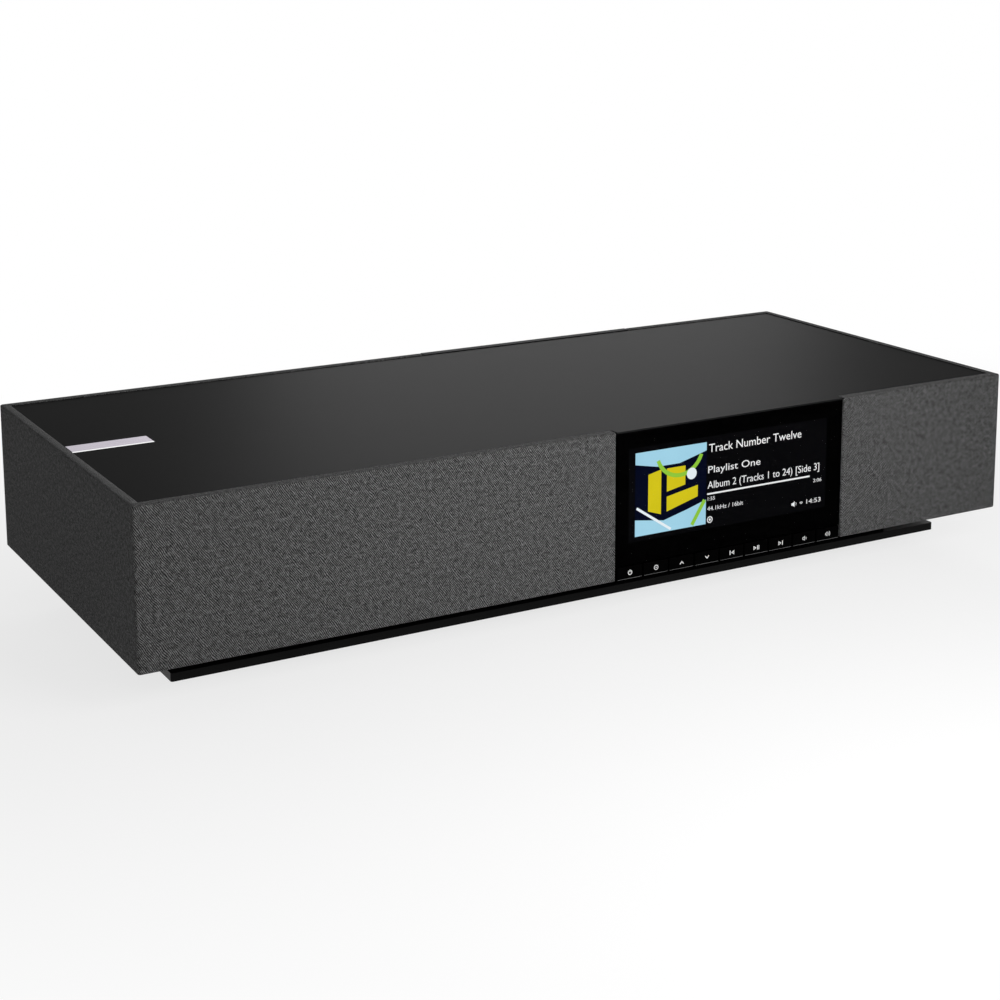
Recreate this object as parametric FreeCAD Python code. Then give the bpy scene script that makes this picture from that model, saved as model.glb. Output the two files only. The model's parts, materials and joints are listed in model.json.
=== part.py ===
import FreeCAD, Part
import math
import os
from FreeCAD import Vector

# Wireless speaker: a low cabinet with cloth covers round both ends, a glass fascia with a display
# and nine keys, and a smaller base plate under a shadow gap.
# Millimetres. X runs to the right seen from the front, Y to the back, Z up from the floor.
# The origin is on the floor under the middle of the cabinet.

# Cabinet
CABINET_WIDTH = 686.0
CABINET_DEPTH = 290.0
CABINET_HEIGHT = 105.0
EDGE_RADIUS = 2.2
EDGE_LEAST = 0.4
RIM_SIDE = 6.0
RIM_FRONT = 7.0
SEAT_GAP = 0.3

# Base
FOOT_HEIGHT = 12.0
FOOT_RADIUS = 16.0
FOOT_FROM_SIDE = 40.0
FOOT_FROM_FRONT = 47.0
BASE_THICK = 5.6
BASE_FROM_SIDE = 32.0
BASE_FROM_FRONT = 33.5
BASE_CORNER = 1.5
SHADOW_GAP = 16.4
RAIL_FROM_EDGE = 26.0
RAIL_WIDTH = 9.0
PAN_THICK = 2.0

# Cloth covers
CLOTH_THICK = 0.8
GRILLE_WALL = 2.4
GRILLE_FLANGE = 3.0
GRILLE_END_POST = 6.0
SLOT_WIDTH = 13.0
SLOT_PITCH = 19.0
SLOT_FROM_CORNER = 14.0
SLOT_FROM_FLANGE = 5.0

# Top
PANEL_THICK = 3.6
PANEL_SINK = 0.6
PANEL_GAP = 0.5
PANEL_CORNER = 1.0
GASKET_THICK = 1.0
NAME_LENGTH = 56.0
NAME_WIDTH = 17.0
NAME_THICK = 1.6
NAME_PROUD = 0.5
NAME_BEVEL = 0.7

# Fascia
FASCIA_WIDTH = 195.0
FASCIA_CENTRE = 93.6
FASCIA_GAP = 0.5
FASCIA_LIP = 1.2
GLASS_THICK = 1.5
GLASS_GAP = 0.3
GLASS_SIDE_GAP = 0.15
BEZEL_THICK = 4.5
BEZEL_SIDE = 2.0
BEZEL_RETURN = 9.0
SCREEN_FROM_LEFT = 10.3
SCREEN_FROM_RIGHT = 12.7
SCREEN_FROM_TOP = 12.7
SCREEN_ABOVE_KEYS = 14.8
SCREEN_BEHIND_GLASS = 0.6
SCREEN_FLANGE = 2.5
SCREEN_BACK = 3.0
SCREEN_FIT = 0.25

# Keys
KEY_COUNT = 9
KEY_GAP = 1.4
KEY_HEIGHT = 9.0
KEY_UNDER = 0.2
KEY_CAP = 3.4
KEY_BEVEL = 0.5
KEY_TRAVEL = 0.5
KEY_STOP_GAP = 0.1
KEY_WALL = 2.0
KEY_SHANK_WIDTH = 12.0
KEY_SHANK_HEIGHT = 3.6
KEY_FIT = 0.2
KEY_CATCH = 1.0
KEY_CATCH_LIP = 1.0
KEY_POST = 1.4
KEY_POST_WIDTH = 3.0
SWITCH_SIZE = 4.5
SWITCH_HEIGHT = 3.5
SWITCH_STEM = 0.8
BOARD_THICK = 1.6
KEY_BOARD_HEIGHT = 14.0
KEY_BOARD_BOSS = 5.0

# Enclosures
BAFFLE_THICK = 9.0
BAFFLE_SET_BACK = 9.0
WALL_THICK = 5.0
ENCLOSURE_FROM_FASCIA = 4.0
CHAMBER_FLOOR = 4.0
PORT_RADIUS = 15.0
PORT_WALL = 2.5
PORT_LENGTH = 60.0
PORT_FROM_END = 50.0

# Drive units, with their radii as shares of the narrower chamber's width
WOOFER_SHARE = 0.298
TWEETER_SHARE = 0.157
FLANGE_THICK = 3.0
FRAME_WALL = 2.0
UNIT_FIT = 0.3
COIL_CLEARANCE = 0.5
PISTON_THICK = 1.6
PISTON_UNDER_ROLL = 0.1
ROLL_SEAT = 1.5
DOME_RISE = 1.6

# Rear panel and its sockets
REAR_THICK = 2.5
RECESS_DEPTH = 16.0
RECESS_FROM_SIDE = 13.0
RECESS_BOTTOM = 16.0
RECESS_HEIGHT = 44.0
RECESS_WALL = 2.0
SOCKET_PITCH = 24.0
SOCKET_FIT = 0.2
SOCKET_WALL = 1.0
MAINS_WALL = 1.7
MAINS_ROUND = 4.0
MAINS_PIN_RADIUS = 1.2
MAINS_PIN_SPACING = 8.6
MAINS_PIN_SHORT = 1.0
LATCH_WIDTH = 6.0
LATCH_DEEP = 2.6
TONGUE_THICK = 1.3
TONGUE_SIDE_GAP = 1.0
FLAP_SINK = 0.8
PHONO_RADIUS = 4.15
PHONO_LENGTH = 9.0
PHONO_HOLE = 1.6
PHONO_PITCH = 14.0

# Electronics
STANDOFF = 8.0
STANDOFF_SIZE = 6.0
STANDOFF_FROM_EDGE = 5.0
BOARD_FROM_SIDE = 6.0
BOARD_FROM_REAR = 36.0
BOARD_GAP = 7.0
MAIN_BOARD_FROM_SIDE = 16.5
MAIN_BOARD_DEPTH = 70.0
MAIN_BOARD_GAP = 14.0
CAPACITOR_RADIUS = 11.0
CAPACITOR_HEIGHT = 36.0
CAPACITOR_PITCH = 28.0
CAPACITOR_PLACE = 0.23
CHIP_COUNT = 3
CHIP_WIDTH = 20.0
CHIP_DEPTH = 16.0
CHIP_HEIGHT = 4.0
CHOKE_COUNT = 4
CHOKE_SIZE = 14.0
CHOKE_FROM_SIDE = 5.0
CHOKE_FROM_FRONT = 14.0
HEAT_SINK_FROM_SIDE = 12.0
HEAT_SINK_FROM_REAR = 17.0
HEAT_SINK_BEHIND_CHOKES = 9.0
HEAT_SINK_BASE = 5.0
HEAT_SINK_HEIGHT = 34.0
FIN_COUNT = 8
FIN_THICK = 2.0
ANTENNA_LENGTH = 44.0
ANTENNA_HEIGHT = 10.0
ANTENNA_THICK = 1.0
ANTENNA_FROM_SIDE = 18.0
ANTENNA_ABOVE_RECESS = 12.0

# Blocks on the boards: the middle as shares of the board's width and depth, then the size
TRANSFORMER = (0.34, 0.53, 38.0, 34.0, 30.0)
MAINS_FILTER = (0.75, 0.55, 20.0, 40.0, 24.0)
MAINS_RELAY = (0.3, 0.81, 26.0, 20.0, 22.0)
RADIO_MODULE = (0.23, 0.49, 42.0, 34.0, 4.0)
PROCESSOR = (0.55, 0.51, 22.0, 22.0, 2.5)
CONVERTER = (0.75, 0.51, 14.0, 10.0, 2.0)
RIBBON_CONNECTOR = (0.5, 0.9, 60.0, 6.0, 8.0)
POWER_CONNECTOR = (0.92, 0.45, 8.0, 40.0, 7.0)

CUT_PAST = 1.0


class DriveUnit:
    """Sizes of one kind of drive unit; its axis is Z and the face of the baffle is at zero."""

    def __init__(self, flange_radius, flange_width, roll_width, roll_lap, roll_height,
                 coil_share, coil_reach, frame_depth, magnet_share, magnet_depth):
        self.flange_radius = flange_radius
        self.opening = flange_radius - flange_width
        self.bowl = self.opening + FRAME_WALL
        self.piston_radius = self.opening - roll_width
        self.roll_lap = roll_lap
        self.roll_height = roll_height
        self.coil_radius = coil_share * self.piston_radius
        self.coil_reach = coil_reach
        self.floor = -frame_depth
        self.magnet_radius = magnet_share * flange_radius
        self.magnet_depth = magnet_depth


class Socket:
    """Outer size of a socket's body, which stands in the floor of the recess."""

    def __init__(self, width, height, proud, behind):
        self.width = width
        self.height = height
        self.proud = proud
        self.behind = behind


PHONO = Socket(width=12.0, height=26.0, proud=1.0, behind=11.0)
OPTICAL = Socket(width=10.0, height=10.0, proud=1.0, behind=12.0)
USB = Socket(width=14.6, height=7.2, proud=1.0, behind=12.0)
HDMI = Socket(width=16.0, height=6.6, proud=1.0, behind=10.0)
NETWORK = Socket(width=16.0, height=13.6, proud=1.0, behind=15.0)
MAINS = Socket(width=19.0, height=12.4, proud=2.0, behind=16.0)
sockets = (PHONO, OPTICAL, USB, HDMI, NETWORK, MAINS)

# Levels and planes that the sizes above give
base_bottom = FOOT_HEIGHT
base_top = base_bottom + BASE_THICK
cabinet_bottom = base_top + SHADOW_GAP
cabinet_top = cabinet_bottom + CABINET_HEIGHT
pan_top = cabinet_bottom + PAN_THICK
panel_top = cabinet_top - PANEL_SINK
panel_bottom = panel_top - PANEL_THICK
enclosure_top = panel_bottom - GASKET_THICK
half_width = CABINET_WIDTH / 2
half_depth = CABINET_DEPTH / 2
inner_half_width = half_width - RIM_SIDE - SEAT_GAP
inner_half_depth = half_depth - RIM_FRONT - SEAT_GAP
baffle_half_depth = inner_half_depth - BAFFLE_SET_BACK
fascia_left = FASCIA_CENTRE - FASCIA_WIDTH / 2
fascia_right = FASCIA_CENTRE + FASCIA_WIDTH / 2
glass_back = -half_depth + GLASS_THICK
bezel_back = glass_back + BEZEL_THICK
key_top = cabinet_bottom + KEY_UNDER + KEY_HEIGHT
key_middle = cabinet_bottom + KEY_UNDER + KEY_HEIGHT / 2
glass_bottom = key_top + GLASS_GAP
chamber_left = (-inner_half_width + BAFFLE_THICK,
                fascia_left - ENCLOSURE_FROM_FASCIA - WALL_THICK)
chamber_right = (fascia_right + ENCLOSURE_FROM_FASCIA + WALL_THICK,
                 inner_half_width - BAFFLE_THICK)
unit_room = min(chamber_left[1] - chamber_left[0], chamber_right[1] - chamber_right[0])
unit_height = (pan_top + enclosure_top) / 2
key_wall_front = -half_depth + KEY_CAP + KEY_TRAVEL + KEY_STOP_GAP
key_wall_back = key_wall_front + KEY_WALL
catch_front = key_wall_back + KEY_STOP_GAP
catch_back = catch_front + KEY_CATCH
stem_front = catch_back + KEY_POST + KEY_TRAVEL + KEY_STOP_GAP
key_board_front = stem_front + SWITCH_HEIGHT
recess_x0 = fascia_left + RECESS_FROM_SIDE
recess_x1 = fascia_right - RECESS_FROM_SIDE
recess_z0 = cabinet_bottom + RECESS_BOTTOM
recess_z1 = recess_z0 + RECESS_HEIGHT
recess_floor = half_depth - RECESS_DEPTH
recess_back = recess_floor - RECESS_WALL
socket_z = (recess_z0 + recess_z1) / 2
FRONT = Vector(0, -1, 0)
REAR = Vector(0, 1, 0)
UP = Vector(0, 0, 1)

WOOFER = DriveUnit(flange_radius=WOOFER_SHARE * unit_room, flange_width=6.0, roll_width=6.0,
                   roll_lap=2.0, roll_height=2.6, coil_share=0.48, coil_reach=7.0,
                   frame_depth=30.0, magnet_share=0.71, magnet_depth=17.0)
TWEETER = DriveUnit(flange_radius=TWEETER_SHARE * unit_room, flange_width=5.8, roll_width=2.4,
                    roll_lap=0.0, roll_height=0.8, coil_share=0.97, coil_reach=3.5,
                    frame_depth=12.0, magnet_share=0.75, magnet_depth=12.0)


def box(x0, x1, y0, y1, z0, z1):
    return Part.makeBox(x1 - x0, y1 - y0, z1 - z0, Vector(x0, y0, z0))


def box_on(x, y, z0, width, depth, height):
    """A box that stands at height z0 with its middle at x and y."""
    return box(x - width / 2, x + width / 2, y - depth / 2, y + depth / 2, z0, z0 + height)


def bar(x, z, width, height, y0, y1):
    """A box that runs along Y with its middle at x and z."""
    return box(x - width / 2, x + width / 2, y0, y1, z - height / 2, z + height / 2)


def rod(x, z, radius, y0, y1):
    """A round bar that runs along Y."""
    return Part.makeCylinder(radius, y1 - y0, Vector(x, y0, z), REAR)


def with_rounded(block, radius, direction):
    """The block with its edges along one direction rounded."""
    along = [e for e in block.Edges if abs(e.tangentAt(e.FirstParameter).dot(direction)) > 0.99]
    return block.makeFillet(radius, along)


def revolved(outline):
    """Turn a closed outline of (radius, height) points about the Z axis."""
    points = [Vector(r, 0, z) for r, z in outline]
    face = Part.Face(Part.makePolygon(points + points[:1]))
    return face.revolve(Vector(0, 0, 0), UP, 360)


def joined(shapes):
    return shapes[0].fuse(shapes[1:]).removeSplitter()


def facing(shape, centre, outwards):
    """A copy of a shape drawn along Z, turned to face outwards with its origin at centre."""
    copy = shape.copy()
    copy.Placement = FreeCAD.Placement(centre, FreeCAD.Rotation(UP, outwards))
    return copy


def evenly(count, middle, pitch):
    """Places in a row with a steady pitch about a middle."""
    return [middle + pitch * (i - (count - 1) / 2) for i in range(count)]


# Base

def base_plate():
    half_x = half_width - BASE_FROM_SIDE
    half_y = half_depth - BASE_FROM_FRONT
    plate = box(-half_x, half_x, -half_y, half_y, base_bottom, base_top)
    return with_rounded(plate, BASE_CORNER, UP)


def plinth_rails():
    """Four bars that hold the base plate away from the cabinet and leave the shadow gap."""
    out_x = half_width - BASE_FROM_SIDE - RAIL_FROM_EDGE
    out_y = half_depth - BASE_FROM_FRONT - RAIL_FROM_EDGE
    in_x = out_x - RAIL_WIDTH
    in_y = out_y - RAIL_WIDTH
    return Part.makeCompound([
        box(-out_x, out_x, -out_y, -in_y, base_top, cabinet_bottom),
        box(-out_x, out_x, in_y, out_y, base_top, cabinet_bottom),
        box(-out_x, -in_x, -in_y, in_y, base_top, cabinet_bottom),
        box(in_x, out_x, -in_y, in_y, base_top, cabinet_bottom),
    ])


def feet():
    x = half_width - BASE_FROM_SIDE - FOOT_FROM_SIDE
    y = half_depth - BASE_FROM_FRONT - FOOT_FROM_FRONT
    spots = [Vector(-x, -y, 0), Vector(x, -y, 0), Vector(-x, y, 0), Vector(x, y, 0)]
    return Part.makeCompound([Part.makeCylinder(FOOT_RADIUS, FOOT_HEIGHT, spot) for spot in spots])


# Boards stand in the bay between the enclosures: two at the rear and one behind the fascia.
bay_left = fascia_left + BOARD_FROM_SIDE
bay_right = fascia_right - BOARD_FROM_SIDE
bay_rear = half_depth - BOARD_FROM_REAR
board_bottom = pan_top + STANDOFF
board_top = board_bottom + BOARD_THICK
main_front = key_board_front + BOARD_THICK + BOARD_FROM_SIDE
main_back = main_front + MAIN_BOARD_DEPTH
main_area = (bay_left + MAIN_BOARD_FROM_SIDE, bay_right - MAIN_BOARD_FROM_SIDE, main_front,
             main_back)
power_area = (bay_left, FASCIA_CENTRE - BOARD_GAP / 2, main_back + MAIN_BOARD_GAP, bay_rear)
amp_area = (FASCIA_CENTRE + BOARD_GAP / 2, bay_right, main_back + MAIN_BOARD_GAP, bay_rear)


def standoffs_under(area):
    x0, x1, y0, y1 = area
    inset = STANDOFF_FROM_EDGE
    return [box_on(x, y, pan_top, STANDOFF_SIZE, STANDOFF_SIZE, STANDOFF)
            for x in (x0 + inset, x1 - inset) for y in (y0 + inset, y1 - inset)]


def bottom_pan():
    """Steel floor of the cabinet with a standoff under each corner of each board."""
    sheet = box(-inner_half_width, inner_half_width, -inner_half_depth, inner_half_depth,
                cabinet_bottom, pan_top)
    return joined([sheet] + standoffs_under(power_area) + standoffs_under(amp_area)
                  + standoffs_under(main_area))


# Cloth covers

def cover_span(side, inset):
    """The lowest and highest X of the left or right cover, drawn in by inset."""
    if side == "left":
        return -half_width + inset, fascia_left - FASCIA_GAP - inset
    return fascia_right + FASCIA_GAP + inset, half_width - inset


def cover_blank(side, inset):
    """A cover round one end of the cabinet, U-shaped seen from above."""
    x0, x1 = cover_span(side, inset)
    y = half_depth - inset
    block = box(x0, x1, -y, y, cabinet_bottom + inset, cabinet_top - inset)
    block = with_rounded(block, max(EDGE_RADIUS - inset, EDGE_LEAST), UP)
    inner_x = half_width - RIM_SIDE
    inner_y = half_depth - RIM_FRONT
    hollow_x0 = -inner_x if side == "left" else x0 - CUT_PAST
    hollow_x1 = x1 + CUT_PAST if side == "left" else inner_x
    return block.cut(box(hollow_x0, hollow_x1, -inner_y, inner_y,
                         cabinet_bottom - CUT_PAST, cabinet_top + CUT_PAST))


def slots_between(low, high):
    """Middles of the slots that fit between two places."""
    room = high - low - 2 * SLOT_FROM_CORNER - SLOT_WIDTH
    return evenly(int(room // SLOT_PITCH) + 1, (low + high) / 2, SLOT_PITCH)


def grille_frame(side):
    """Moulded frame under the cloth: flanged top and bottom, with upright slots for the sound."""
    x0, x1 = cover_span(side, CLOTH_THICK)
    wall = CLOTH_THICK + GRILLE_WALL
    low = cabinet_bottom + CLOTH_THICK + GRILLE_FLANGE
    high = cabinet_top - CLOTH_THICK - GRILLE_FLANGE
    pocket_x0 = -half_width + wall if side == "left" else x0 + GRILLE_END_POST
    pocket_x1 = x1 - GRILLE_END_POST if side == "left" else half_width - wall
    end_x0 = -half_width - CUT_PAST if side == "left" else pocket_x1 - CUT_PAST
    end_x1 = pocket_x0 + CUT_PAST if side == "left" else half_width + CUT_PAST
    slot_low = low + SLOT_FROM_FLANGE
    slot_high = high - SLOT_FROM_FLANGE
    cuts = [box(pocket_x0, pocket_x1, -half_depth + wall, half_depth - wall, low, high)]
    for x in slots_between(x0, x1):
        cuts.append(box(x - SLOT_WIDTH / 2, x + SLOT_WIDTH / 2, -half_depth - CUT_PAST,
                        half_depth + CUT_PAST, slot_low, slot_high))
    for y in slots_between(-half_depth, half_depth):
        cuts.append(box(end_x0, end_x1, y - SLOT_WIDTH / 2, y + SLOT_WIDTH / 2,
                        slot_low, slot_high))
    return cover_blank(side, CLOTH_THICK).cut(cuts)


def grille_cloth(side):
    """The skin of cloth over the outside, the rims and the ends of one frame."""
    return cover_blank(side, 0).cut(cover_blank(side, CLOTH_THICK))


# Drive units

def frame_of(unit):
    """Pressed frame: a flat flange, a bowl and a floor with a hole for the coil."""
    coil_hole = unit.coil_radius + COIL_CLEARANCE
    return revolved([
        (unit.flange_radius, 0),
        (unit.flange_radius, FLANGE_THICK),
        (unit.opening, FLANGE_THICK),
        (unit.opening, unit.floor + FRAME_WALL),
        (coil_hole, unit.floor + FRAME_WALL),
        (coil_hole, unit.floor),
        (unit.bowl, unit.floor),
        (unit.bowl, 0),
    ])


def motor_of(unit):
    """Magnet cup behind the frame, with the well that the coil moves in."""
    back = unit.floor - unit.magnet_depth
    well = unit.coil_radius + COIL_CLEARANCE
    return revolved([
        (0, back),
        (unit.magnet_radius, back),
        (unit.magnet_radius, unit.floor),
        (well, unit.floor),
        (well, back + FRAME_WALL),
        (0, back + FRAME_WALL),
    ])


def roll_of(unit):
    """The raised rubber roll that joins the diaphragm to the flange."""
    inner = unit.piston_radius - unit.roll_lap
    outer = unit.opening + ROLL_SEAT
    shoulder = (outer - inner) / 3
    return revolved([
        (inner, FLANGE_THICK),
        (outer, FLANGE_THICK),
        (outer - shoulder, FLANGE_THICK + unit.roll_height),
        (inner + shoulder, FLANGE_THICK + unit.roll_height),
    ])


def piston_of(unit):
    """Flat sandwich diaphragm with its coil glued behind it."""
    front = FLANGE_THICK - PISTON_UNDER_ROLL
    back = front - PISTON_THICK
    return revolved([
        (0, front),
        (unit.piston_radius, front),
        (unit.piston_radius, back),
        (unit.coil_radius, back),
        (unit.coil_radius, unit.floor - unit.coil_reach),
        (0, unit.floor - unit.coil_reach),
    ])


def dome_of(unit):
    """Stiff dome with a flat crown and its coil glued behind it."""
    rim = FLANGE_THICK - PISTON_UNDER_ROLL
    return revolved([
        (0, rim + DOME_RISE),
        (unit.coil_radius - DOME_RISE, rim + DOME_RISE),
        (unit.coil_radius, rim),
        (unit.coil_radius, unit.floor - unit.coil_reach),
        (0, unit.floor - unit.coil_reach),
    ])


def row_between(units, start, end):
    """Centres of units that share a stretch of baffle with equal gaps."""
    gap = (end - start - sum(2 * unit.flange_radius for unit in units)) / (len(units) + 1)
    centres = []
    at = start
    for unit in units:
        centres.append(at + gap + unit.flange_radius)
        at += gap + 2 * unit.flange_radius
    return centres


tweeter_left, woofer_left = row_between([TWEETER, WOOFER], *chamber_left)
woofer_right, tweeter_right = row_between([WOOFER, TWEETER], *chamber_right)
unit_rows = ((WOOFER, (woofer_left, woofer_right)), (TWEETER, (tweeter_left, tweeter_right)))
port_row = (chamber_left[0] + PORT_FROM_END, chamber_right[1] - PORT_FROM_END)


def on_front(shape, x):
    return facing(shape, Vector(x, -baffle_half_depth, unit_height), FRONT)


def on_both_fronts(shape, row):
    return Part.makeCompound([on_front(shape, x) for x in row])


# Enclosures

def enclosure(side):
    """Open-topped box for one end's drive units, sealed by the top panel."""
    in0, in1 = chamber_left if side == "left" else chamber_right
    wall0, wall1 = (BAFFLE_THICK, WALL_THICK) if side == "left" else (WALL_THICK, BAFFLE_THICK)
    y = baffle_half_depth
    tub = box(in0 - wall0, in1 + wall1, -y, y, pan_top, enclosure_top)
    cuts = [box(in0, in1, -y + BAFFLE_THICK, y - BAFFLE_THICK, pan_top + CHAMBER_FLOOR,
                enclosure_top + CUT_PAST)]
    for unit, row in unit_rows:
        cuts += [rod(x, unit_height, unit.bowl + UNIT_FIT, -y - CUT_PAST,
                     -y + BAFFLE_THICK + CUT_PAST) for x in row if in0 < x < in1]
    cuts += [rod(x, unit_height, PORT_RADIUS + PORT_WALL + UNIT_FIT, y - BAFFLE_THICK - CUT_PAST,
                 y + CUT_PAST) for x in port_row if in0 < x < in1]
    return tub.cut(cuts)


def enclosure_gaskets():
    """Rubber seals between the enclosures' rims and the top panel."""
    y = baffle_half_depth
    rings = []
    for chamber, wall0, wall1 in ((chamber_left, BAFFLE_THICK, WALL_THICK),
                                  (chamber_right, WALL_THICK, BAFFLE_THICK)):
        in0, in1 = chamber
        ring = box(in0 - wall0, in1 + wall1, -y, y, enclosure_top, panel_bottom)
        rings.append(ring.cut(box(in0, in1, -y + BAFFLE_THICK, y - BAFFLE_THICK,
                                  enclosure_top - CUT_PAST, panel_bottom + CUT_PAST)))
    return Part.makeCompound(rings)


def bass_ports():
    """Tuned tubes that open to the back, behind the cloth."""
    y0 = baffle_half_depth - PORT_LENGTH
    y1 = baffle_half_depth
    return Part.makeCompound([
        rod(x, unit_height, PORT_RADIUS + PORT_WALL, y0, y1).cut(
            rod(x, unit_height, PORT_RADIUS, y0 - CUT_PAST, y1 + CUT_PAST))
        for x in port_row
    ])


# Top

name_left = -half_width + RIM_SIDE + PANEL_GAP
name_top = panel_top + NAME_PROUD
name_seat = name_top - NAME_THICK


def top_panel():
    """Satin lid between the cloth rims, with a shallow seat for the name plate."""
    x = half_width - RIM_SIDE - PANEL_GAP
    y = half_depth - RIM_FRONT - PANEL_GAP
    lid = with_rounded(box(-x, x, -y, y, panel_bottom, panel_top), PANEL_CORNER, UP)
    return lid.cut(box(name_left - CUT_PAST, name_left + NAME_LENGTH, -NAME_WIDTH / 2,
                       NAME_WIDTH / 2, name_seat, panel_top + CUT_PAST))


def name_plate():
    """Bare metal plate, bevelled on its long edges and its free end."""
    plate = box(name_left, name_left + NAME_LENGTH, -NAME_WIDTH / 2, NAME_WIDTH / 2,
                name_seat, name_top)
    rim = [e for e in plate.Edges if e.BoundBox.ZMin > name_top - NAME_BEVEL
           and e.BoundBox.XMax > name_left + NAME_BEVEL]
    return plate.makeChamfer(NAME_BEVEL, rim)


# Fascia

screen_x0 = fascia_left + SCREEN_FROM_LEFT
screen_x1 = fascia_right - SCREEN_FROM_RIGHT
screen_z0 = glass_bottom + SCREEN_ABOVE_KEYS
screen_z1 = cabinet_top - SCREEN_FROM_TOP
key_pitch = (FASCIA_WIDTH - KEY_GAP) / KEY_COUNT
key_width = key_pitch - KEY_GAP
key_row = evenly(KEY_COUNT, FASCIA_CENTRE, key_pitch)
key_names = ["key_power", "key_info", "key_up", "key_down", "key_previous", "key_play_pause",
             "key_next", "key_volume_down", "key_volume_up"]


def front_bezel():
    """Moulded carrier for the glass, the screen and the keys, with a lip level with the rims."""
    side_x = (fascia_left, fascia_left + BEZEL_SIDE, fascia_right - BEZEL_SIDE, fascia_right)
    boss_z = key_top + KEY_BOARD_BOSS / 2
    pieces = [
        box(fascia_left, fascia_right, glass_back, bezel_back, pan_top, cabinet_top),
        box(fascia_left, fascia_right, -half_depth, -half_depth + RIM_FRONT,
            cabinet_top - FASCIA_LIP, cabinet_top),
        box(fascia_left, fascia_right, key_wall_front, key_wall_back, cabinet_bottom,
            glass_bottom),
        box(side_x[0], side_x[1], glass_back, bezel_back + BEZEL_RETURN, pan_top,
            panel_bottom - SEAT_GAP),
        box(side_x[2], side_x[3], glass_back, bezel_back + BEZEL_RETURN, pan_top,
            panel_bottom - SEAT_GAP),
    ]
    for x in key_row[:-1:KEY_COUNT // 3]:
        pieces.append(bar(x + key_pitch / 2, boss_z, KEY_BOARD_BOSS, KEY_BOARD_BOSS,
                          key_wall_front, key_board_front))
    cuts = [
        box(fascia_left - CUT_PAST, fascia_right + CUT_PAST, -half_depth - CUT_PAST,
            key_wall_front, cabinet_bottom - CUT_PAST, glass_bottom),
        box(side_x[1], side_x[2], key_wall_back, bezel_back + CUT_PAST, pan_top - CUT_PAST,
            key_top),
        box(screen_x0 - SCREEN_FIT, screen_x1 + SCREEN_FIT, glass_back - CUT_PAST,
            bezel_back + CUT_PAST, screen_z0 - SCREEN_FIT, screen_z1 + SCREEN_FIT),
    ]
    for x in key_row:
        cuts.append(bar(x, key_middle, KEY_SHANK_WIDTH + 2 * KEY_FIT,
                        KEY_SHANK_HEIGHT + 2 * KEY_FIT, key_wall_front - CUT_PAST,
                        key_wall_back + CUT_PAST))
    return joined(pieces).cut(cuts)


def display_glass():
    return box(fascia_left + GLASS_SIDE_GAP, fascia_right - GLASS_SIDE_GAP, -half_depth,
               glass_back, glass_bottom, cabinet_top - FASCIA_LIP)


def display_module():
    """Screen panel with a back flange that seats behind the bezel."""
    panel = box(screen_x0, screen_x1, glass_back + SCREEN_BEHIND_GLASS, bezel_back,
                screen_z0, screen_z1)
    back = box(screen_x0 - SCREEN_FLANGE, screen_x1 + SCREEN_FLANGE, bezel_back,
               bezel_back + SCREEN_BACK, screen_z0 - SCREEN_FLANGE, screen_z1 + SCREEN_FLANGE)
    return joined([panel, back])


def key(x):
    """One key: bevelled cap, shank through the wall, catch behind it and a post to its switch."""
    front = -half_depth
    cap = bar(x, key_middle, key_width, KEY_HEIGHT, front, front + KEY_CAP)
    face_rim = [e for e in cap.Edges if e.BoundBox.YMax < front + KEY_BEVEL]
    return joined([
        cap.makeChamfer(KEY_BEVEL, face_rim),
        bar(x, key_middle, KEY_SHANK_WIDTH, KEY_SHANK_HEIGHT, front + KEY_CAP, catch_back),
        bar(x, key_middle, KEY_SHANK_WIDTH + 2 * KEY_CATCH_LIP, KEY_SHANK_HEIGHT, catch_front,
            catch_back),
        bar(x, key_middle, KEY_POST_WIDTH, KEY_POST_WIDTH, catch_back, catch_back + KEY_POST),
    ])


def key_board():
    """Circuit board behind the keys with one tactile switch for each."""
    z0 = pan_top + SEAT_GAP
    pieces = [box(fascia_left + BEZEL_SIDE + SEAT_GAP, fascia_right - BEZEL_SIDE - SEAT_GAP,
                  key_board_front, key_board_front + BOARD_THICK, z0, z0 + KEY_BOARD_HEIGHT)]
    for x in key_row:
        pieces.append(bar(x, key_middle, SWITCH_SIZE, SWITCH_SIZE, stem_front + SWITCH_STEM,
                          key_board_front))
        pieces.append(bar(x, key_middle, KEY_POST_WIDTH, KEY_POST_WIDTH, stem_front,
                          stem_front + SWITCH_STEM))
    return joined(pieces)


# Rear

socket_x = dict(zip(sockets, evenly(len(sockets), FASCIA_CENTRE, SOCKET_PITCH)))


def socket_body(socket):
    return bar(socket_x[socket], socket_z, socket.width, socket.height,
               recess_back - socket.behind, recess_floor + socket.proud)


def socket_mouth(socket, width, height):
    """The space inside a socket, open to the back and closed by a wall at its inner end."""
    return bar(socket_x[socket], socket_z, width, height,
               recess_back - socket.behind + SOCKET_WALL, recess_floor + socket.proud + CUT_PAST)


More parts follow.
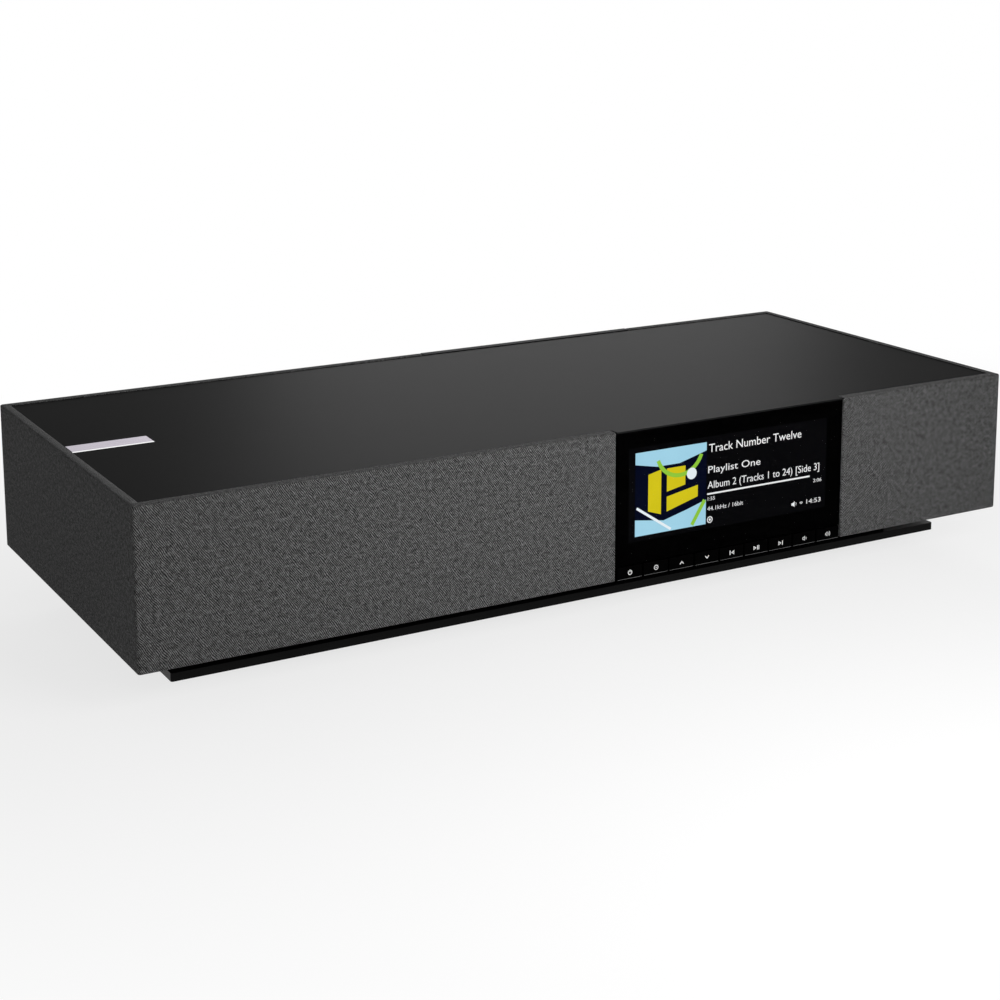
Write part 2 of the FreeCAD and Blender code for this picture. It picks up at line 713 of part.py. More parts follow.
def rear_panel():
    """Back cover between the cloth ends, with a walled recess that the sockets stand in."""
    pieces = [
        box(fascia_left, fascia_right, half_depth - REAR_THICK, half_depth, cabinet_bottom,
            cabinet_top),
        box(fascia_left, fascia_right, half_depth - RIM_FRONT, half_depth,
            cabinet_top - GRILLE_FLANGE, cabinet_top),
        box(fascia_left, fascia_right, half_depth - RIM_FRONT, half_depth, cabinet_bottom,
            cabinet_bottom + GRILLE_FLANGE),
        box(recess_x0 - RECESS_WALL, recess_x1 + RECESS_WALL, recess_back, half_depth,
            recess_z0 - RECESS_WALL, recess_z1 + RECESS_WALL),
    ]
    cuts = [box(recess_x0, recess_x1, recess_floor, half_depth + CUT_PAST, recess_z0, recess_z1)]
    for socket in sockets:
        cuts.append(bar(socket_x[socket], socket_z, socket.width + 2 * SOCKET_FIT,
                        socket.height + 2 * SOCKET_FIT, recess_back - CUT_PAST,
                        recess_floor + CUT_PAST))
    return joined(pieces).cut(cuts)


def mains_inlet():
    """Two-pin appliance inlet."""
    x = socket_x[MAINS]
    mouth = with_rounded(socket_mouth(MAINS, MAINS.width - 2 * MAINS_WALL,
                                      MAINS.height - 2 * MAINS_WALL), MAINS_ROUND, REAR)
    y0 = recess_back - MAINS.behind
    y1 = recess_floor + MAINS.proud - MAINS_PIN_SHORT
    pins = [rod(at, socket_z, MAINS_PIN_RADIUS, y0, y1)
            for at in evenly(2, x, MAINS_PIN_SPACING)]
    return joined([socket_body(MAINS).cut(mouth)] + pins)


def network_socket():
    """Eight-way modular socket with the notch for the plug's latch under its mouth."""
    x = socket_x[NETWORK]
    y0 = recess_back - NETWORK.behind + SOCKET_WALL
    y1 = recess_floor + NETWORK.proud + CUT_PAST
    half_width = NETWORK.width / 2 - 2 * SOCKET_WALL
    low = socket_z - NETWORK.height / 2 + SOCKET_WALL
    mouth = box(x - half_width, x + half_width, y0, y1, low + LATCH_DEEP,
                socket_z + NETWORK.height / 2 - SOCKET_WALL)
    notch = box(x - LATCH_WIDTH / 2, x + LATCH_WIDTH / 2, y0, y1, low, socket_z)
    return socket_body(NETWORK).cut([mouth, notch])


def tongue_socket(socket):
    """A flat socket with a contact tongue down its middle."""
    width = socket.width - 2 * SOCKET_WALL
    mouth = socket_mouth(socket, width, socket.height - 2 * SOCKET_WALL)
    tongue = bar(socket_x[socket], socket_z, width - 2 * TONGUE_SIDE_GAP, TONGUE_THICK,
                 recess_back - socket.behind, recess_floor)
    return joined([socket_body(socket).cut(mouth), tongue])


def optical_socket():
    """Square socket closed by its spring flap."""
    front = recess_floor + OPTICAL.proud
    return socket_body(OPTICAL).cut(bar(socket_x[OPTICAL], socket_z,
                                        OPTICAL.width - 2 * SOCKET_WALL,
                                        OPTICAL.height - 2 * SOCKET_WALL,
                                        front - FLAP_SINK, front + CUT_PAST))


def line_in_sockets():
    """A pair of coaxial sockets, one above the other, on a common body."""
    x = socket_x[PHONO]
    y0 = recess_floor + PHONO.proud
    y1 = y0 + PHONO_LENGTH
    heights = evenly(2, socket_z, PHONO_PITCH)
    barrels = [rod(x, z, PHONO_RADIUS, y0, y1) for z in heights]
    holes = [rod(x, z, PHONO_HOLE, y0, y1 + CUT_PAST) for z in heights]
    return joined([socket_body(PHONO)] + barrels).cut(holes)


# Electronics

def board_with(area, blocks):
    """A circuit board and the blocks that stand on it."""
    x0, x1, y0, y1 = area
    pieces = [box(x0, x1, y0, y1, board_bottom, board_top)]
    for right, back, width, depth, height in blocks:
        pieces.append(box_on(x0 + right * (x1 - x0), y0 + back * (y1 - y0), board_top, width,
                             depth, height))
    return joined(pieces)


def power_supply_board():
    """Mains filter, transformer, relay and reservoir capacitors."""
    x0, x1, y0, y1 = power_area
    y = y0 + CAPACITOR_PLACE * (y1 - y0)
    capacitors = [Part.makeCylinder(CAPACITOR_RADIUS, CAPACITOR_HEIGHT, Vector(x, y, board_top))
                  for x in evenly(2, (x0 + x1) / 2, CAPACITOR_PITCH)]
    return joined([board_with(power_area, (TRANSFORMER, MAINS_FILTER, MAINS_RELAY))] + capacitors)


amp_middle = (amp_area[0] + amp_area[1]) / 2
choke_front = amp_area[2] + CHOKE_FROM_FRONT
heat_sink_x0 = amp_area[0] + HEAT_SINK_FROM_SIDE
heat_sink_x1 = amp_area[1] - HEAT_SINK_FROM_SIDE
heat_sink_y0 = choke_front + CHOKE_SIZE + HEAT_SINK_BEHIND_CHOKES
heat_sink_y1 = amp_area[3] - HEAT_SINK_FROM_REAR


def amplifier_board():
    """Switching amplifiers in a row under the heat sink, with their output chokes in front."""
    pieces = [board_with(amp_area, ())]
    chip_pitch = (heat_sink_y1 - heat_sink_y0) / CHIP_COUNT
    for y in evenly(CHIP_COUNT, (heat_sink_y0 + heat_sink_y1) / 2, chip_pitch):
        pieces.append(box_on(amp_middle, y, board_top, CHIP_WIDTH, CHIP_DEPTH, CHIP_HEIGHT))
    choke_row = amp_area[1] - amp_area[0] - 2 * CHOKE_FROM_SIDE - CHOKE_SIZE
    for x in evenly(CHOKE_COUNT, amp_middle, choke_row / (CHOKE_COUNT - 1)):
        pieces.append(box_on(x, choke_front + CHOKE_SIZE / 2, board_top, CHOKE_SIZE, CHOKE_SIZE,
                             CHOKE_SIZE))
    return joined(pieces)


def heat_sink():
    """Extruded fins on a flat base, clamped on the amplifier chips."""
    z = board_top + CHIP_HEIGHT
    width = heat_sink_x1 - heat_sink_x0
    pieces = [box(heat_sink_x0, heat_sink_x1, heat_sink_y0, heat_sink_y1, z, z + HEAT_SINK_BASE)]
    for x in evenly(FIN_COUNT, amp_middle, (width - FIN_THICK) / (FIN_COUNT - 1)):
        pieces.append(box(x - FIN_THICK / 2, x + FIN_THICK / 2, heat_sink_y0, heat_sink_y1, z,
                          z + HEAT_SINK_HEIGHT))
    return joined(pieces)


def main_board():
    """Streaming and signal board: radio module, processor, converter and connectors."""
    return board_with(main_area, (RADIO_MODULE, PROCESSOR, CONVERTER, RIBBON_CONNECTOR,
                                  POWER_CONNECTOR))


def wireless_antennas():
    """Two flat antennas stuck inside the back cover above the recess."""
    back = half_depth - REAR_THICK
    z0 = recess_z1 + ANTENNA_ABOVE_RECESS
    span = FASCIA_WIDTH - 2 * ANTENNA_FROM_SIDE - ANTENNA_LENGTH
    return Part.makeCompound([
        box_on(x, back - ANTENNA_THICK / 2, z0, ANTENNA_LENGTH, ANTENNA_THICK, ANTENNA_HEIGHT)
        for x in evenly(2, FASCIA_CENTRE, span)
    ])


sub_parts = {
    "base_plate": base_plate(),
    "plinth_rails": plinth_rails(),
    "feet": feet(),
    "bottom_pan": bottom_pan(),
    "left_enclosure": enclosure("left"),
    "right_enclosure": enclosure("right"),
    "enclosure_gaskets": enclosure_gaskets(),
    "bass_ports": bass_ports(),
    "grille_frame_left": grille_frame("left"),
    "grille_frame_right": grille_frame("right"),
    "grille_cloth_left": grille_cloth("left"),
    "grille_cloth_right": grille_cloth("right"),
    "top_panel": top_panel(),
    "name_plate": name_plate(),
    "front_bezel": front_bezel(),
    "display_glass": display_glass(),
    "display_module": display_module(),
    "key_board": key_board(),
    "rear_panel": rear_panel(),
    "mains_inlet": mains_inlet(),
    "network_socket": network_socket(),
    "hdmi_socket": tongue_socket(HDMI),
    "usb_socket": tongue_socket(USB),
    "optical_socket": optical_socket(),
    "line_in_sockets": line_in_sockets(),
    "power_supply_board": power_supply_board(),
    "amplifier_board": amplifier_board(),
    "heat_sink": heat_sink(),
    "main_board": main_board(),
    "wireless_antennas": wireless_antennas(),
    "woofer_diaphragm_left": on_front(piston_of(WOOFER), woofer_left),
    "woofer_diaphragm_right": on_front(piston_of(WOOFER), woofer_right),
    "tweeter_dome_left": on_front(dome_of(TWEETER), tweeter_left),
    "tweeter_dome_right": on_front(dome_of(TWEETER), tweeter_right),
}
for kind, (unit, row) in zip(("woofer", "tweeter"), unit_rows):
    sub_parts[kind + "_frames"] = on_both_fronts(frame_of(unit), row)
    sub_parts[kind + "_motors"] = on_both_fronts(motor_of(unit), row)
    sub_parts[kind + "_rolls"] = on_both_fronts(roll_of(unit), row)
for name, x in zip(key_names, key_row):
    sub_parts[name] = key(x)

os.makedirs("parts", exist_ok=True)
for name, shape in sub_parts.items():
    if not shape.isValid():
        raise ValueError(name + " is not a valid shape")
    shape.exportStep("parts/" + name + ".step")
print(len(sub_parts), "sub-parts written")
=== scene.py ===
import json
import math

import bmesh
import bpy
from bpy.props import (FloatProperty, FloatVectorProperty, IntProperty, PointerProperty,
                       StringProperty)
from bpy.types import Operator, Panel, PropertyGroup
from mathutils import Matrix, Vector


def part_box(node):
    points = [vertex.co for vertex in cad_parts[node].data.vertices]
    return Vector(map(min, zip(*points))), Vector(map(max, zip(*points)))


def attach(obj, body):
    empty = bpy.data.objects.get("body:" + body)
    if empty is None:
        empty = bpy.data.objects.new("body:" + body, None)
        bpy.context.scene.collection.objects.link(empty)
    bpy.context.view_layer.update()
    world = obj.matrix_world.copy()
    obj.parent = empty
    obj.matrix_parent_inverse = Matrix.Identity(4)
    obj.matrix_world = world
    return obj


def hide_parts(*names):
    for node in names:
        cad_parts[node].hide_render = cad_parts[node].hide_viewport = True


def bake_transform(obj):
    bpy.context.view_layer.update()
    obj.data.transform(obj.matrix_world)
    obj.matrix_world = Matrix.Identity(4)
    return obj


bl_info = {
    "name": "Wireless speaker",
    "version": (1, 0, 0),
    "blender": (4, 5, 0),
    "location": "3D View > Sidebar > Speaker",
    "description": "Cloth covers, lit display, key marks, screws and finishes of a wireless "
                   "speaker",
    "category": "Object",
}

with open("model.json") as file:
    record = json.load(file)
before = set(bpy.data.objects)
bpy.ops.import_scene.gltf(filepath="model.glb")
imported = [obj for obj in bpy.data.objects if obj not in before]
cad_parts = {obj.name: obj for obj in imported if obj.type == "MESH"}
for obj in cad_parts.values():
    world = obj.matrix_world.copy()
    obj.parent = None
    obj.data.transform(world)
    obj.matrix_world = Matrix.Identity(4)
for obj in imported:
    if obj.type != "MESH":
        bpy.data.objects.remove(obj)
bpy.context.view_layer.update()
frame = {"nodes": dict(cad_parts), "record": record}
MM = 0.001
SIDES = ("left", "right")

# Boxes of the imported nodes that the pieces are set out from, in metres
COVER_LOW, COVER_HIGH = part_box("grille_cloth_left")
RIGHT_LOW, RIGHT_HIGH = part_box("grille_cloth_right")
LID_LOW, LID_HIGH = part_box("top_panel")
GLASS_LOW, GLASS_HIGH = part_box("display_glass")
SCREEN_LOW, SCREEN_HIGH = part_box("display_module")
REAR_LOW, REAR_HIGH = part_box("rear_panel")
BASE_LOW, BASE_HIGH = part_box("base_plate")

# Two places closer than this are one
NEAR = 0.01 * MM
# A unit normal with more than this along an axis is turned towards it by over 45 degrees
TURNED = math.sqrt(0.5)
# Thickness of a print, and the step from one part of the lit picture to the next
INK = 0.02 * MM
LAYER = 0.03 * MM
# How far the lit words stand in front of the display
WORDS_AHEAD = 0.1 * MM
# Side of a display pixel: really 0.15 mm, drawn coarser so that it shows. Every other one is
# this much dimmer
PIXEL = 0.5 * MM
PIXEL_DIMMEST = 0.93
# Height of a capital in Blender's own font, against its letter size
CAPITAL = 0.7


# Settings

def linear(text):
    """Turn an sRGB hex colour into the linear colour that Blender's nodes read."""
    values = [int(text[i:i + 2], 16) / 255 for i in (1, 3, 5)]
    return tuple(v / 12.92 if v <= 0.04045 else ((v + 0.055) / 1.055) ** 2.4
                 for v in values) + (1.0,)


def length_setting(name, description, default):
    """A length, given in millimetres and kept in metres."""
    return FloatProperty(name=name, description=description, default=default * MM,
                         unit="LENGTH", precision=5)


def share_setting(name, description, default):
    """A strength from 0 to 1."""
    return FloatProperty(name=name, description=description, default=default,
                         subtype="FACTOR", min=0.0, max=1.0, precision=4)


def colour_setting(name, description, default):
    """A colour, given as sRGB hex."""
    return FloatVectorProperty(name=name, description=description,
                               default=linear(default)[:3], subtype="COLOR", size=3)


def angle_setting(name, description, default):
    """An angle, given in degrees and kept in radians."""
    return FloatProperty(name=name, description=description, default=math.radians(default),
                         subtype="ANGLE")


# Nodes

def add(tree, kind, inputs=(), stops=(), **settings):
    """Add one node with its settings and whatever feeds it.

    Inputs are in the order of the sockets, or go by their names. Each is a node, whose first
    output is taken, an output, or a plain value. Stops are the places and colours of a ramp.
    """
    node = tree.nodes.new(kind)
    for name, value in settings.items():
        setattr(node, name, value)
    for name, value in inputs.items() if isinstance(inputs, dict) else enumerate(inputs):
        if isinstance(value, bpy.types.Node):
            value = value.outputs[0]
        if isinstance(value, bpy.types.NodeSocket):
            tree.links.new(value, node.inputs[name])
        else:
            node.inputs[name].default_value = value
    for _ in stops[2:]:
        node.color_ramp.elements.new(1.0)
    for i, (place, colour) in enumerate(stops):
        element = node.color_ramp.elements[i]
        element.position = place
        element.color = linear(colour) if isinstance(colour, str) else (*colour, 1.0)
    return node


def new_material(name):
    """An empty material and its tree."""
    made = bpy.data.materials.new(name)
    made.use_nodes = True
    made.node_tree.nodes.clear()
    return made, made.node_tree


def surface(made, inputs, shade=None, stops=(), gloss=None, rough=(), relief=None, depth=0.0,
            strength=1.0):
    """Give a material its shader, and hand the material back.

    Shade is the pattern that picks a colour from the stops, gloss the one that takes the
    roughness from and to, and relief the one that is raised to a depth in metres.
    """
    tree = made.node_tree
    if stops:
        inputs["Base Color"] = add(tree, "ShaderNodeValToRGB", (shade,), stops)
    if rough:
        inputs["Roughness"] = add(tree, "ShaderNodeMapRange",
                                  {"Value": gloss, "To Min": rough[0], "To Max": rough[1]})
    if depth:
        inputs["Normal"] = add(tree, "ShaderNodeBump",
                               {"Height": relief, "Strength": strength, "Distance": depth})
    shader = add(tree, "ShaderNodeBsdfPrincipled", inputs)
    add(tree, "ShaderNodeOutputMaterial", {"Surface": shader})
    return made


def grain(tree, size, detail=3.0, stretch=(1, 1, 1), source="Object"):
    """Noise with lumps of about size metres, longer along an axis with a large stretch."""
    place = add(tree, "ShaderNodeTexCoord").outputs[source]
    scale = tuple(1 / (size * s) for s in stretch)
    fitted = add(tree, "ShaderNodeMapping", {"Vector": place, "Scale": scale})
    return add(tree, "ShaderNodeTexNoise", {"Vector": fitted, "Scale": 1.0, "Detail": detail})


def leaning(tree, axis, start, stop):
    """A value that goes from 0 to 1 as the surface's own normal leans along an axis."""
    normal = add(tree, "ShaderNodeNewGeometry").outputs["Normal"]
    lean = add(tree, "ShaderNodeSeparateXYZ", (normal,)).outputs[axis]
    return add(tree, "ShaderNodeMapRange",
               {"Value": lean, "From Min": start, "From Max": stop})


# Finishes

def mottled(name, dark, light, size, rough, depth=0.0, shine=0.5, metal=0.0,
            stretch=(1, 1, 1)):
    """A finish whose colour, gloss and surface all vary with one fine grain.

    The grain's size and the relief's depth are in metres, and rough is the roughness from and to.
    """
    made, tree = new_material(name)
    lumps = grain(tree, size, stretch=stretch)
    return surface(made, {"Specular IOR Level": shine, "Metallic": metal},
                   lumps, ((0.3, dark), (0.7, light)), lumps, rough, lumps, depth)


MOULDED_ABS = ("Moulded black ABS", "#141415", "#1c1c1d", 0.0009, (0.5, 0.65), 0.00003)
BLACK_RUBBER = ("Black rubber", "#101011", "#191919", 0.0012, (0.75, 0.9), 0.00004)

# What mottled() takes for each finish, by material slot or by use
FINISHES = {
    # Deep even black, whose sawn and polished edges take a thin highlight
    "base_acrylic": ("Black cast acrylic", "#0a0a0a", "#0e0e0e", 0.02, (0.16, 0.24), 0.0, 0.05),
    # Powdery black, lost in the shadow gap
    "plinth_black": ("Matt black paint on steel", "#070708", "#0c0c0d", 0.0015, (0.7, 0.85),
                     0.00002, 0.1),
    # Soft black with no highlight
    "foot_rubber": BLACK_RUBBER,
    "seal_rubber": BLACK_RUBBER,
    "roll_rubber": BLACK_RUBBER,
    # Pebbled black, as baked powder leaves it
    "pan_steel": ("Black powder coat on steel", "#101012", "#1a1a1c", 0.0012, (0.5, 0.65),
                  0.00006),
    # Pale brown, with the pressed fibres showing
    "fibreboard": ("Raw fibreboard", "#8a6a48", "#a98a62", 0.0016, (0.8, 0.95), 0.00008),
    # Plain dark grey, with the mould's faint grain
    "frame_plastic": MOULDED_ABS,
    "socket_plastic": MOULDED_ABS,
    # For the solids that the cloth covers hide
    "cloth": MOULDED_ABS,
    # Matt and evenly pitted, so that the back shows no glare
    "rear_plastic": ("Spark eroded black ABS", "#161617", "#202022", 0.0007, (0.55, 0.7),
                     0.00005, 0.01),
    # Black wherever the display is not lit
    "screen": ("Dark liquid crystal panel", "#020202", "#030303", 0.01, (0.5, 0.6), 0.0, 0.0),
    # Dark satin metal, drawn out along the fins
    "fin_aluminium": ("Black anodised extrusion", "#17171a", "#242428", 0.0006, (0.4, 0.5),
                      0.00002, 0.5, 0.6, (1, 40, 1)),
    # Bright thin sheet, slightly clouded
    "socket_metal": ("Tinned steel shell", "#8f9092", "#b4b5b6", 0.002, (0.25, 0.4), 0.0, 0.5,
                     1.0),
    # Warm and bright, turned smooth before plating
    "socket_gold": ("Gold plated brass", "#b98a35", "#d9ab52", 0.002, (0.18, 0.3), 0.0, 0.5,
                    1.0),
    # Brown copper under a clear film
    "antenna_film": ("Copper on polyimide film", "#7a4a1c", "#99632c", 0.003, (0.35, 0.5)),
    # Thin smooth black over pressed steel
    "basket_steel": ("Black stoved enamel on steel", "#141416", "#1d1d1f", 0.001, (0.4, 0.5)),
    # Grey metal with the plating's large pale spangle
    "magnet_steel": ("Zinc plated steel", "#6c6e72", "#8d8f93", 0.004, (0.3, 0.5), 0.0, 0.5,
                     1.0),
    # Dull and fibrous, as felted pulp dries
    "piston": ("Coated paper pulp", "#151517", "#242427", 0.0015, (0.6, 0.8), 0.00008),
    # A fine thread under a hard clear coat
    "dome": ("Doped silk", "#121214", "#1e1e21", 0.0006, (0.45, 0.6), 0.00004),
    # Painted shadow: the blackest line on the lid, a strip that stands for the shade in the gaps
    # round the lid and the name plate, and takes no light
    "foam": ("Black foam tape", "#050505", "#0a0a0a", 0.0006, (0.9, 1.0), 0.00003, 0.05),
    # Fired on the glass, opaque and without a sheen of its own
    "glass_ink": ("Black ceramic ink", "#010101", "#020202", 0.004, (0.6, 0.7), 0.0, 0.0),
    # Thick opaque white with a crisp edge
    "key_ink": ("White screen printing ink", "#cfcfcf", "#e6e6e6", 0.0008, (0.5, 0.6), 0.00001),
    # Blued steel, oily dark with a soft glint
    "oxide": ("Black oxide on steel", "#1b1b1d", "#2a2a2d", 0.0008, (0.35, 0.5), 0.0, 0.5, 0.8),
    # Bright thin strips
    "contact": ("Gold plated contact", "#b98a35", "#dcb05a", 0.001, (0.2, 0.3), 0.0, 0.5, 1.0),
    # Smoother than the feet, as it is moulded thin
    "roll": ("Nitrile rubber roll", "#101011", "#191919", 0.0012, (0.6, 0.75), 0.00003),
    # Glossy dyed plastic, one white and one red
    "ring_left": ("Dyed ABS ring left", "#cfcfca", "#dcdcd8", 0.002, (0.4, 0.5)),
    "ring_right": ("Dyed ABS ring right", "#8c1a16", "#a3211c", 0.002, (0.4, 0.5)),
    # Thin grey ink, dull on the pitted back
    "label_ink": ("Grey pad printing ink", "#8c8c8c", "#a4a4a4", 0.0008, (0.5, 0.6), 0.00001),
}


def finish_for(use):
    """The finish of a slot or use, made once and then shared."""
    row = FINISHES[use]
    return bpy.data.materials.get(row[0]) or mottled(*row)


def charcoal_twill(cover):
    """Twill of charcoal and grey yarns: matt, heathered, with fine ribs that slant at 45 degrees.

    Each yarn passes over two and under two, and the step moves on by one at each yarn.
    """
    made, tree = new_material("Charcoal twill cloth")
    place = add(tree, "ShaderNodeUVMap", uv_map="weave")
    counted = add(tree, "ShaderNodeMapping",
                  {"Vector": place, "Scale": (1 / cover.warp, 1 / cover.weft, 1)})
    # The yarns stray in waves about 17 yarns long, which is 0.06 of a wave for each yarn
    drift = add(tree, "ShaderNodeTexNoise", {"Vector": counted, "Scale": 0.06, "Detail": 1.0})
    straying = add(tree, "ShaderNodeVectorMath",
                   (drift.outputs["Color"], (cover.wander,) * 3, counted),
                   operation="MULTIPLY_ADD")
    ways = add(tree, "ShaderNodeSeparateXYZ", (straying,)).outputs
    warp, weft = (add(tree, "ShaderNodeMath", (ways[axis],), operation="FLOOR")
                  for axis in ("X", "Y"))
    on_warp, on_weft = (add(tree, "ShaderNodeMath", (ways[axis],), operation="FRACT")
                        for axis in ("X", "Y"))
    count = add(tree, "ShaderNodeMath", (warp, weft), operation="ADD")
    step = add(tree, "ShaderNodeMath", (count, 4.0), operation="FLOORED_MODULO")
    warp_shows = add(tree, "ShaderNodeMath", (step, 2.0), operation="LESS_THAN")
    extra = add(tree, "ShaderNodeMath", (on_warp, on_weft), operation="SUBTRACT")
    over = add(tree, "ShaderNodeMath", (extra, warp_shows, on_weft), operation="MULTIPLY_ADD")
    # Each yarn's round section: the relief, and in the colour a painted shade that darkens every
    # yarn towards its edges and the gaps between yarns
    half_turn = add(tree, "ShaderNodeMath", (over, math.pi), operation="MULTIPLY")
    yarn_round_and_gap_shade = add(tree, "ShaderNodeMath", (half_turn,), operation="SINE")

    def patches(yarns, detail, low, high):
        """Blotches some yarns wide, from a low to a high value."""
        lumps = grain(tree, yarns * cover.warp, detail, source="UV")
        return add(tree, "ShaderNodeMapRange", {"Value": lumps, "To Min": low, "To Max": high})

    speck = patches(4, 2.0, -1.6, 1.6)
    fibres = patches(9, 2.0, -0.5, 2.5)
    broken = patches(12, 1.0, -0.3, 2.0)
    paler = add(tree, "ShaderNodeMath", (warp_shows, 0.5), operation="SUBTRACT")
    rib = add(tree, "ShaderNodeMath", (paler, broken), operation="MULTIPLY")
    mixed = 0.0
    for part, strength in ((yarn_round_and_gap_shade, cover.painted_gap_shade), (rib, cover.rib_contrast),
                           (fibres, cover.heather)):
        mixed = add(tree, "ShaderNodeMath", (part, strength, mixed), operation="MULTIPLY_ADD")
    uneven = add(tree, "ShaderNodeMath", (speck, cover.speck_contrast, 1.0),
                 operation="MULTIPLY_ADD")
    shade = add(tree, "ShaderNodeMath", (mixed, uneven), operation="MULTIPLY")
    yarns = ((0.0, tuple(cover.dark_yarn)), (1.0, tuple(cover.light_yarn)))
    return surface(made, {"Specular IOR Level": 0.1}, shade, yarns, fibres, (0.85, 0.98),
                   yarn_round_and_gap_shade, depth=0.0001, strength=0.4)


def satin_aluminium(lid):
    """Bead blasted and anodised aluminium: dark grey, with a wide soft highlight."""
    made, tree = new_material("Satin anodised aluminium")
    beads = grain(tree, 0.0008, detail=4.0)
    cloud = grain(tree, 0.09, detail=2.0)
    shades = ((0.3, tuple(v * 0.9 for v in lid.colour)), (0.7, tuple(lid.colour)))
    rough = (lid.roughness - lid.roughness_spread, lid.roughness + lid.roughness_spread)
    return surface(made, {"Specular IOR Level": lid.shine}, cloud, shades, beads, rough, beads,
                   depth=0.00002, strength=0.3)


def brushed_aluminium():
    """Bare aluminium, brushed along its length, with a painted highlight on its front bevel."""
    made, tree = new_material("Brushed aluminium")
    lines = grain(tree, 0.0004, detail=5.0, stretch=(60, 1, 1))
    # Painted highlight: faces that lean to the front are coloured up to white, for the glint on
    # the cut bevel
    bevel = leaning(tree, "Y", -0.3, -0.6)
    shade = add(tree, "ShaderNodeMath", (lines, bevel), operation="MAXIMUM")
    shades = ((0.3, "#9f97a4"), (0.7, "#b4acb9"), (1.0, "#ffffff"))
    return surface(made, {"Metallic": 1.0}, shade, shades, lines, (0.22, 0.32), lines,
                   depth=0.00002, strength=0.4)


def cover_glass():
    """Clear cover glass that stays black in a bright room.

    Its coating cancels nearly all reflection, which the low index of refraction stands for.
    """
    made, tree = new_material("Coated cover glass")
    smears = grain(tree, 0.05, detail=2.0)
    return surface(made, {"Transmission Weight": 1.0, "IOR": 1.01, "Roughness": 0.0},
                   smears, ((0.3, "#f2f4f6"), (0.7, "#ffffff")))


def key_gloss():
    """Moulded and polished ABS, nearly black, with a painted highlight on the lower edges."""
    made, tree = new_material("Polished black ABS")
    haze = grain(tree, 0.012, detail=4.0)
    # Painted highlight: faces that lean downwards are coloured from near black up to grey, where
    # the table's light would catch them
    painted_edge_highlight = leaning(tree, "Z", -0.3, -0.65)
    return surface(made, {"Specular IOR Level": 0.004},
                   painted_edge_highlight, ((0.0, "#020202"), (1.0, "#6c6c6c")), haze, (0.2, 0.28))


def circuit_board():
    """Glass fibre board under green solder mask, with the copper runs showing through."""
    made, tree = new_material("Green solder mask board")
    place = add(tree, "ShaderNodeTexCoord").outputs["Object"]
    fitted = add(tree, "ShaderNodeMapping", {"Vector": place, "Scale": (160, 160, 160)})
    cells = add(tree, "ShaderNodeTexVoronoi", {"Vector": fitted}, distance="MANHATTAN")
    return surface(made, {}, cells, ((0.35, "#0f4a26"), (0.45, "#1c6a3a")), cells, (0.3, 0.45),
                   cells, depth=0.00004)


def lit_pixels(name, colour, strength):
    """A lit part of the display, whose pixels alternate a little in strength."""
    made, tree = new_material("Lit pixels " + name)
    place = add(tree, "ShaderNodeTexCoord").outputs["Object"]
    fitted = add(tree, "ShaderNodeMapping", {"Vector": place, "Scale": (1 / PIXEL,) * 3})
    cells = add(tree, "ShaderNodeTexChecker", {"Vector": fitted, "Scale": 1.0})
    light = add(tree, "ShaderNodeMapRange",
                {"Value": cells.outputs["Fac"], "To Min": strength * PIXEL_DIMMEST,
                 "To Max": strength})
    return surface(made, {"Base Color": linear("#020202"), "Roughness": 0.6,
                          "Specular IOR Level": 0.0, "Emission Color": linear(colour),
                          "Emission Strength": light})


# Outlines, as rings of points. A shape is a list of its outline and any holes in it.

def rectangle(x0, x1, y0, y1):
    """The four corners of an upright rectangle."""
    return [(x0, y0), (x1, y0), (x1, y1), (x0, y1)]


def arc(radius, start, turn, count, centre=(0.0, 0.0)):
    """Points along an arc about a centre, from a start over a turn in degrees."""
    angles = [math.radians(start + turn * i / count) for i in range(count + 1)]
    return [(centre[0] + radius * math.cos(a), centre[1] + radius * math.sin(a))
            for a in angles]


def circle(radius, count=32, centre=(0.0, 0.0)):
    """Points round a full circle."""
    return arc(radius, 0, 360, count, centre)[:-1]


def arc_band(inner, outer, start, turn, count=16, centre=(0.0, 0.0)):
    """The outline of a band that follows part of a circle."""
    return (arc(outer, start, turn, count, centre)
            + arc(inner, start, turn, count, centre)[::-1])


def stroke(a, b, width):
    """The outline of a straight line with square ends."""
    a, b = Vector(a), Vector(b)
    along = (b - a).normalized()
    side = Vector((-along.y, along.x)) * width / 2
    return [tuple(a + side), tuple(a - side), tuple(b - side), tuple(b + side)]


def hollow(outline, share):
    """A shape whose hole is its own outline, drawn smaller about the middle."""
    x = sum(p[0] for p in outline) / len(outline)
    y = sum(p[1] for p in outline) / len(outline)
    return [outline, [(x + (a - x) * share, y + (b - y) * share) for a, b in outline]]


def chevron(way):
    """A broad stroke bent to a point, up or down."""
    return [[(-1.8, -0.9 * way), (-1.3, -1.4 * way), (0, 0), (1.3, -1.4 * way),
             (1.8, -0.9 * way), (0, way)]]


def triangle(x, way):
    """A hollow triangle that points right or left from its upright side."""
    return hollow([(x, -1.6), (x + 2.6 * way, 0), (x, 1.6)], 0.4)


def speaker_cone(x):
    """A hollow loudspeaker, seen from the side, from its back."""
    return hollow([(x, -0.8), (x + 0.8, -0.8), (x + 2.0, -1.8), (x + 2.0, 1.8),
                   (x + 0.8, 0.8), (x, 0.8)], 0.5)


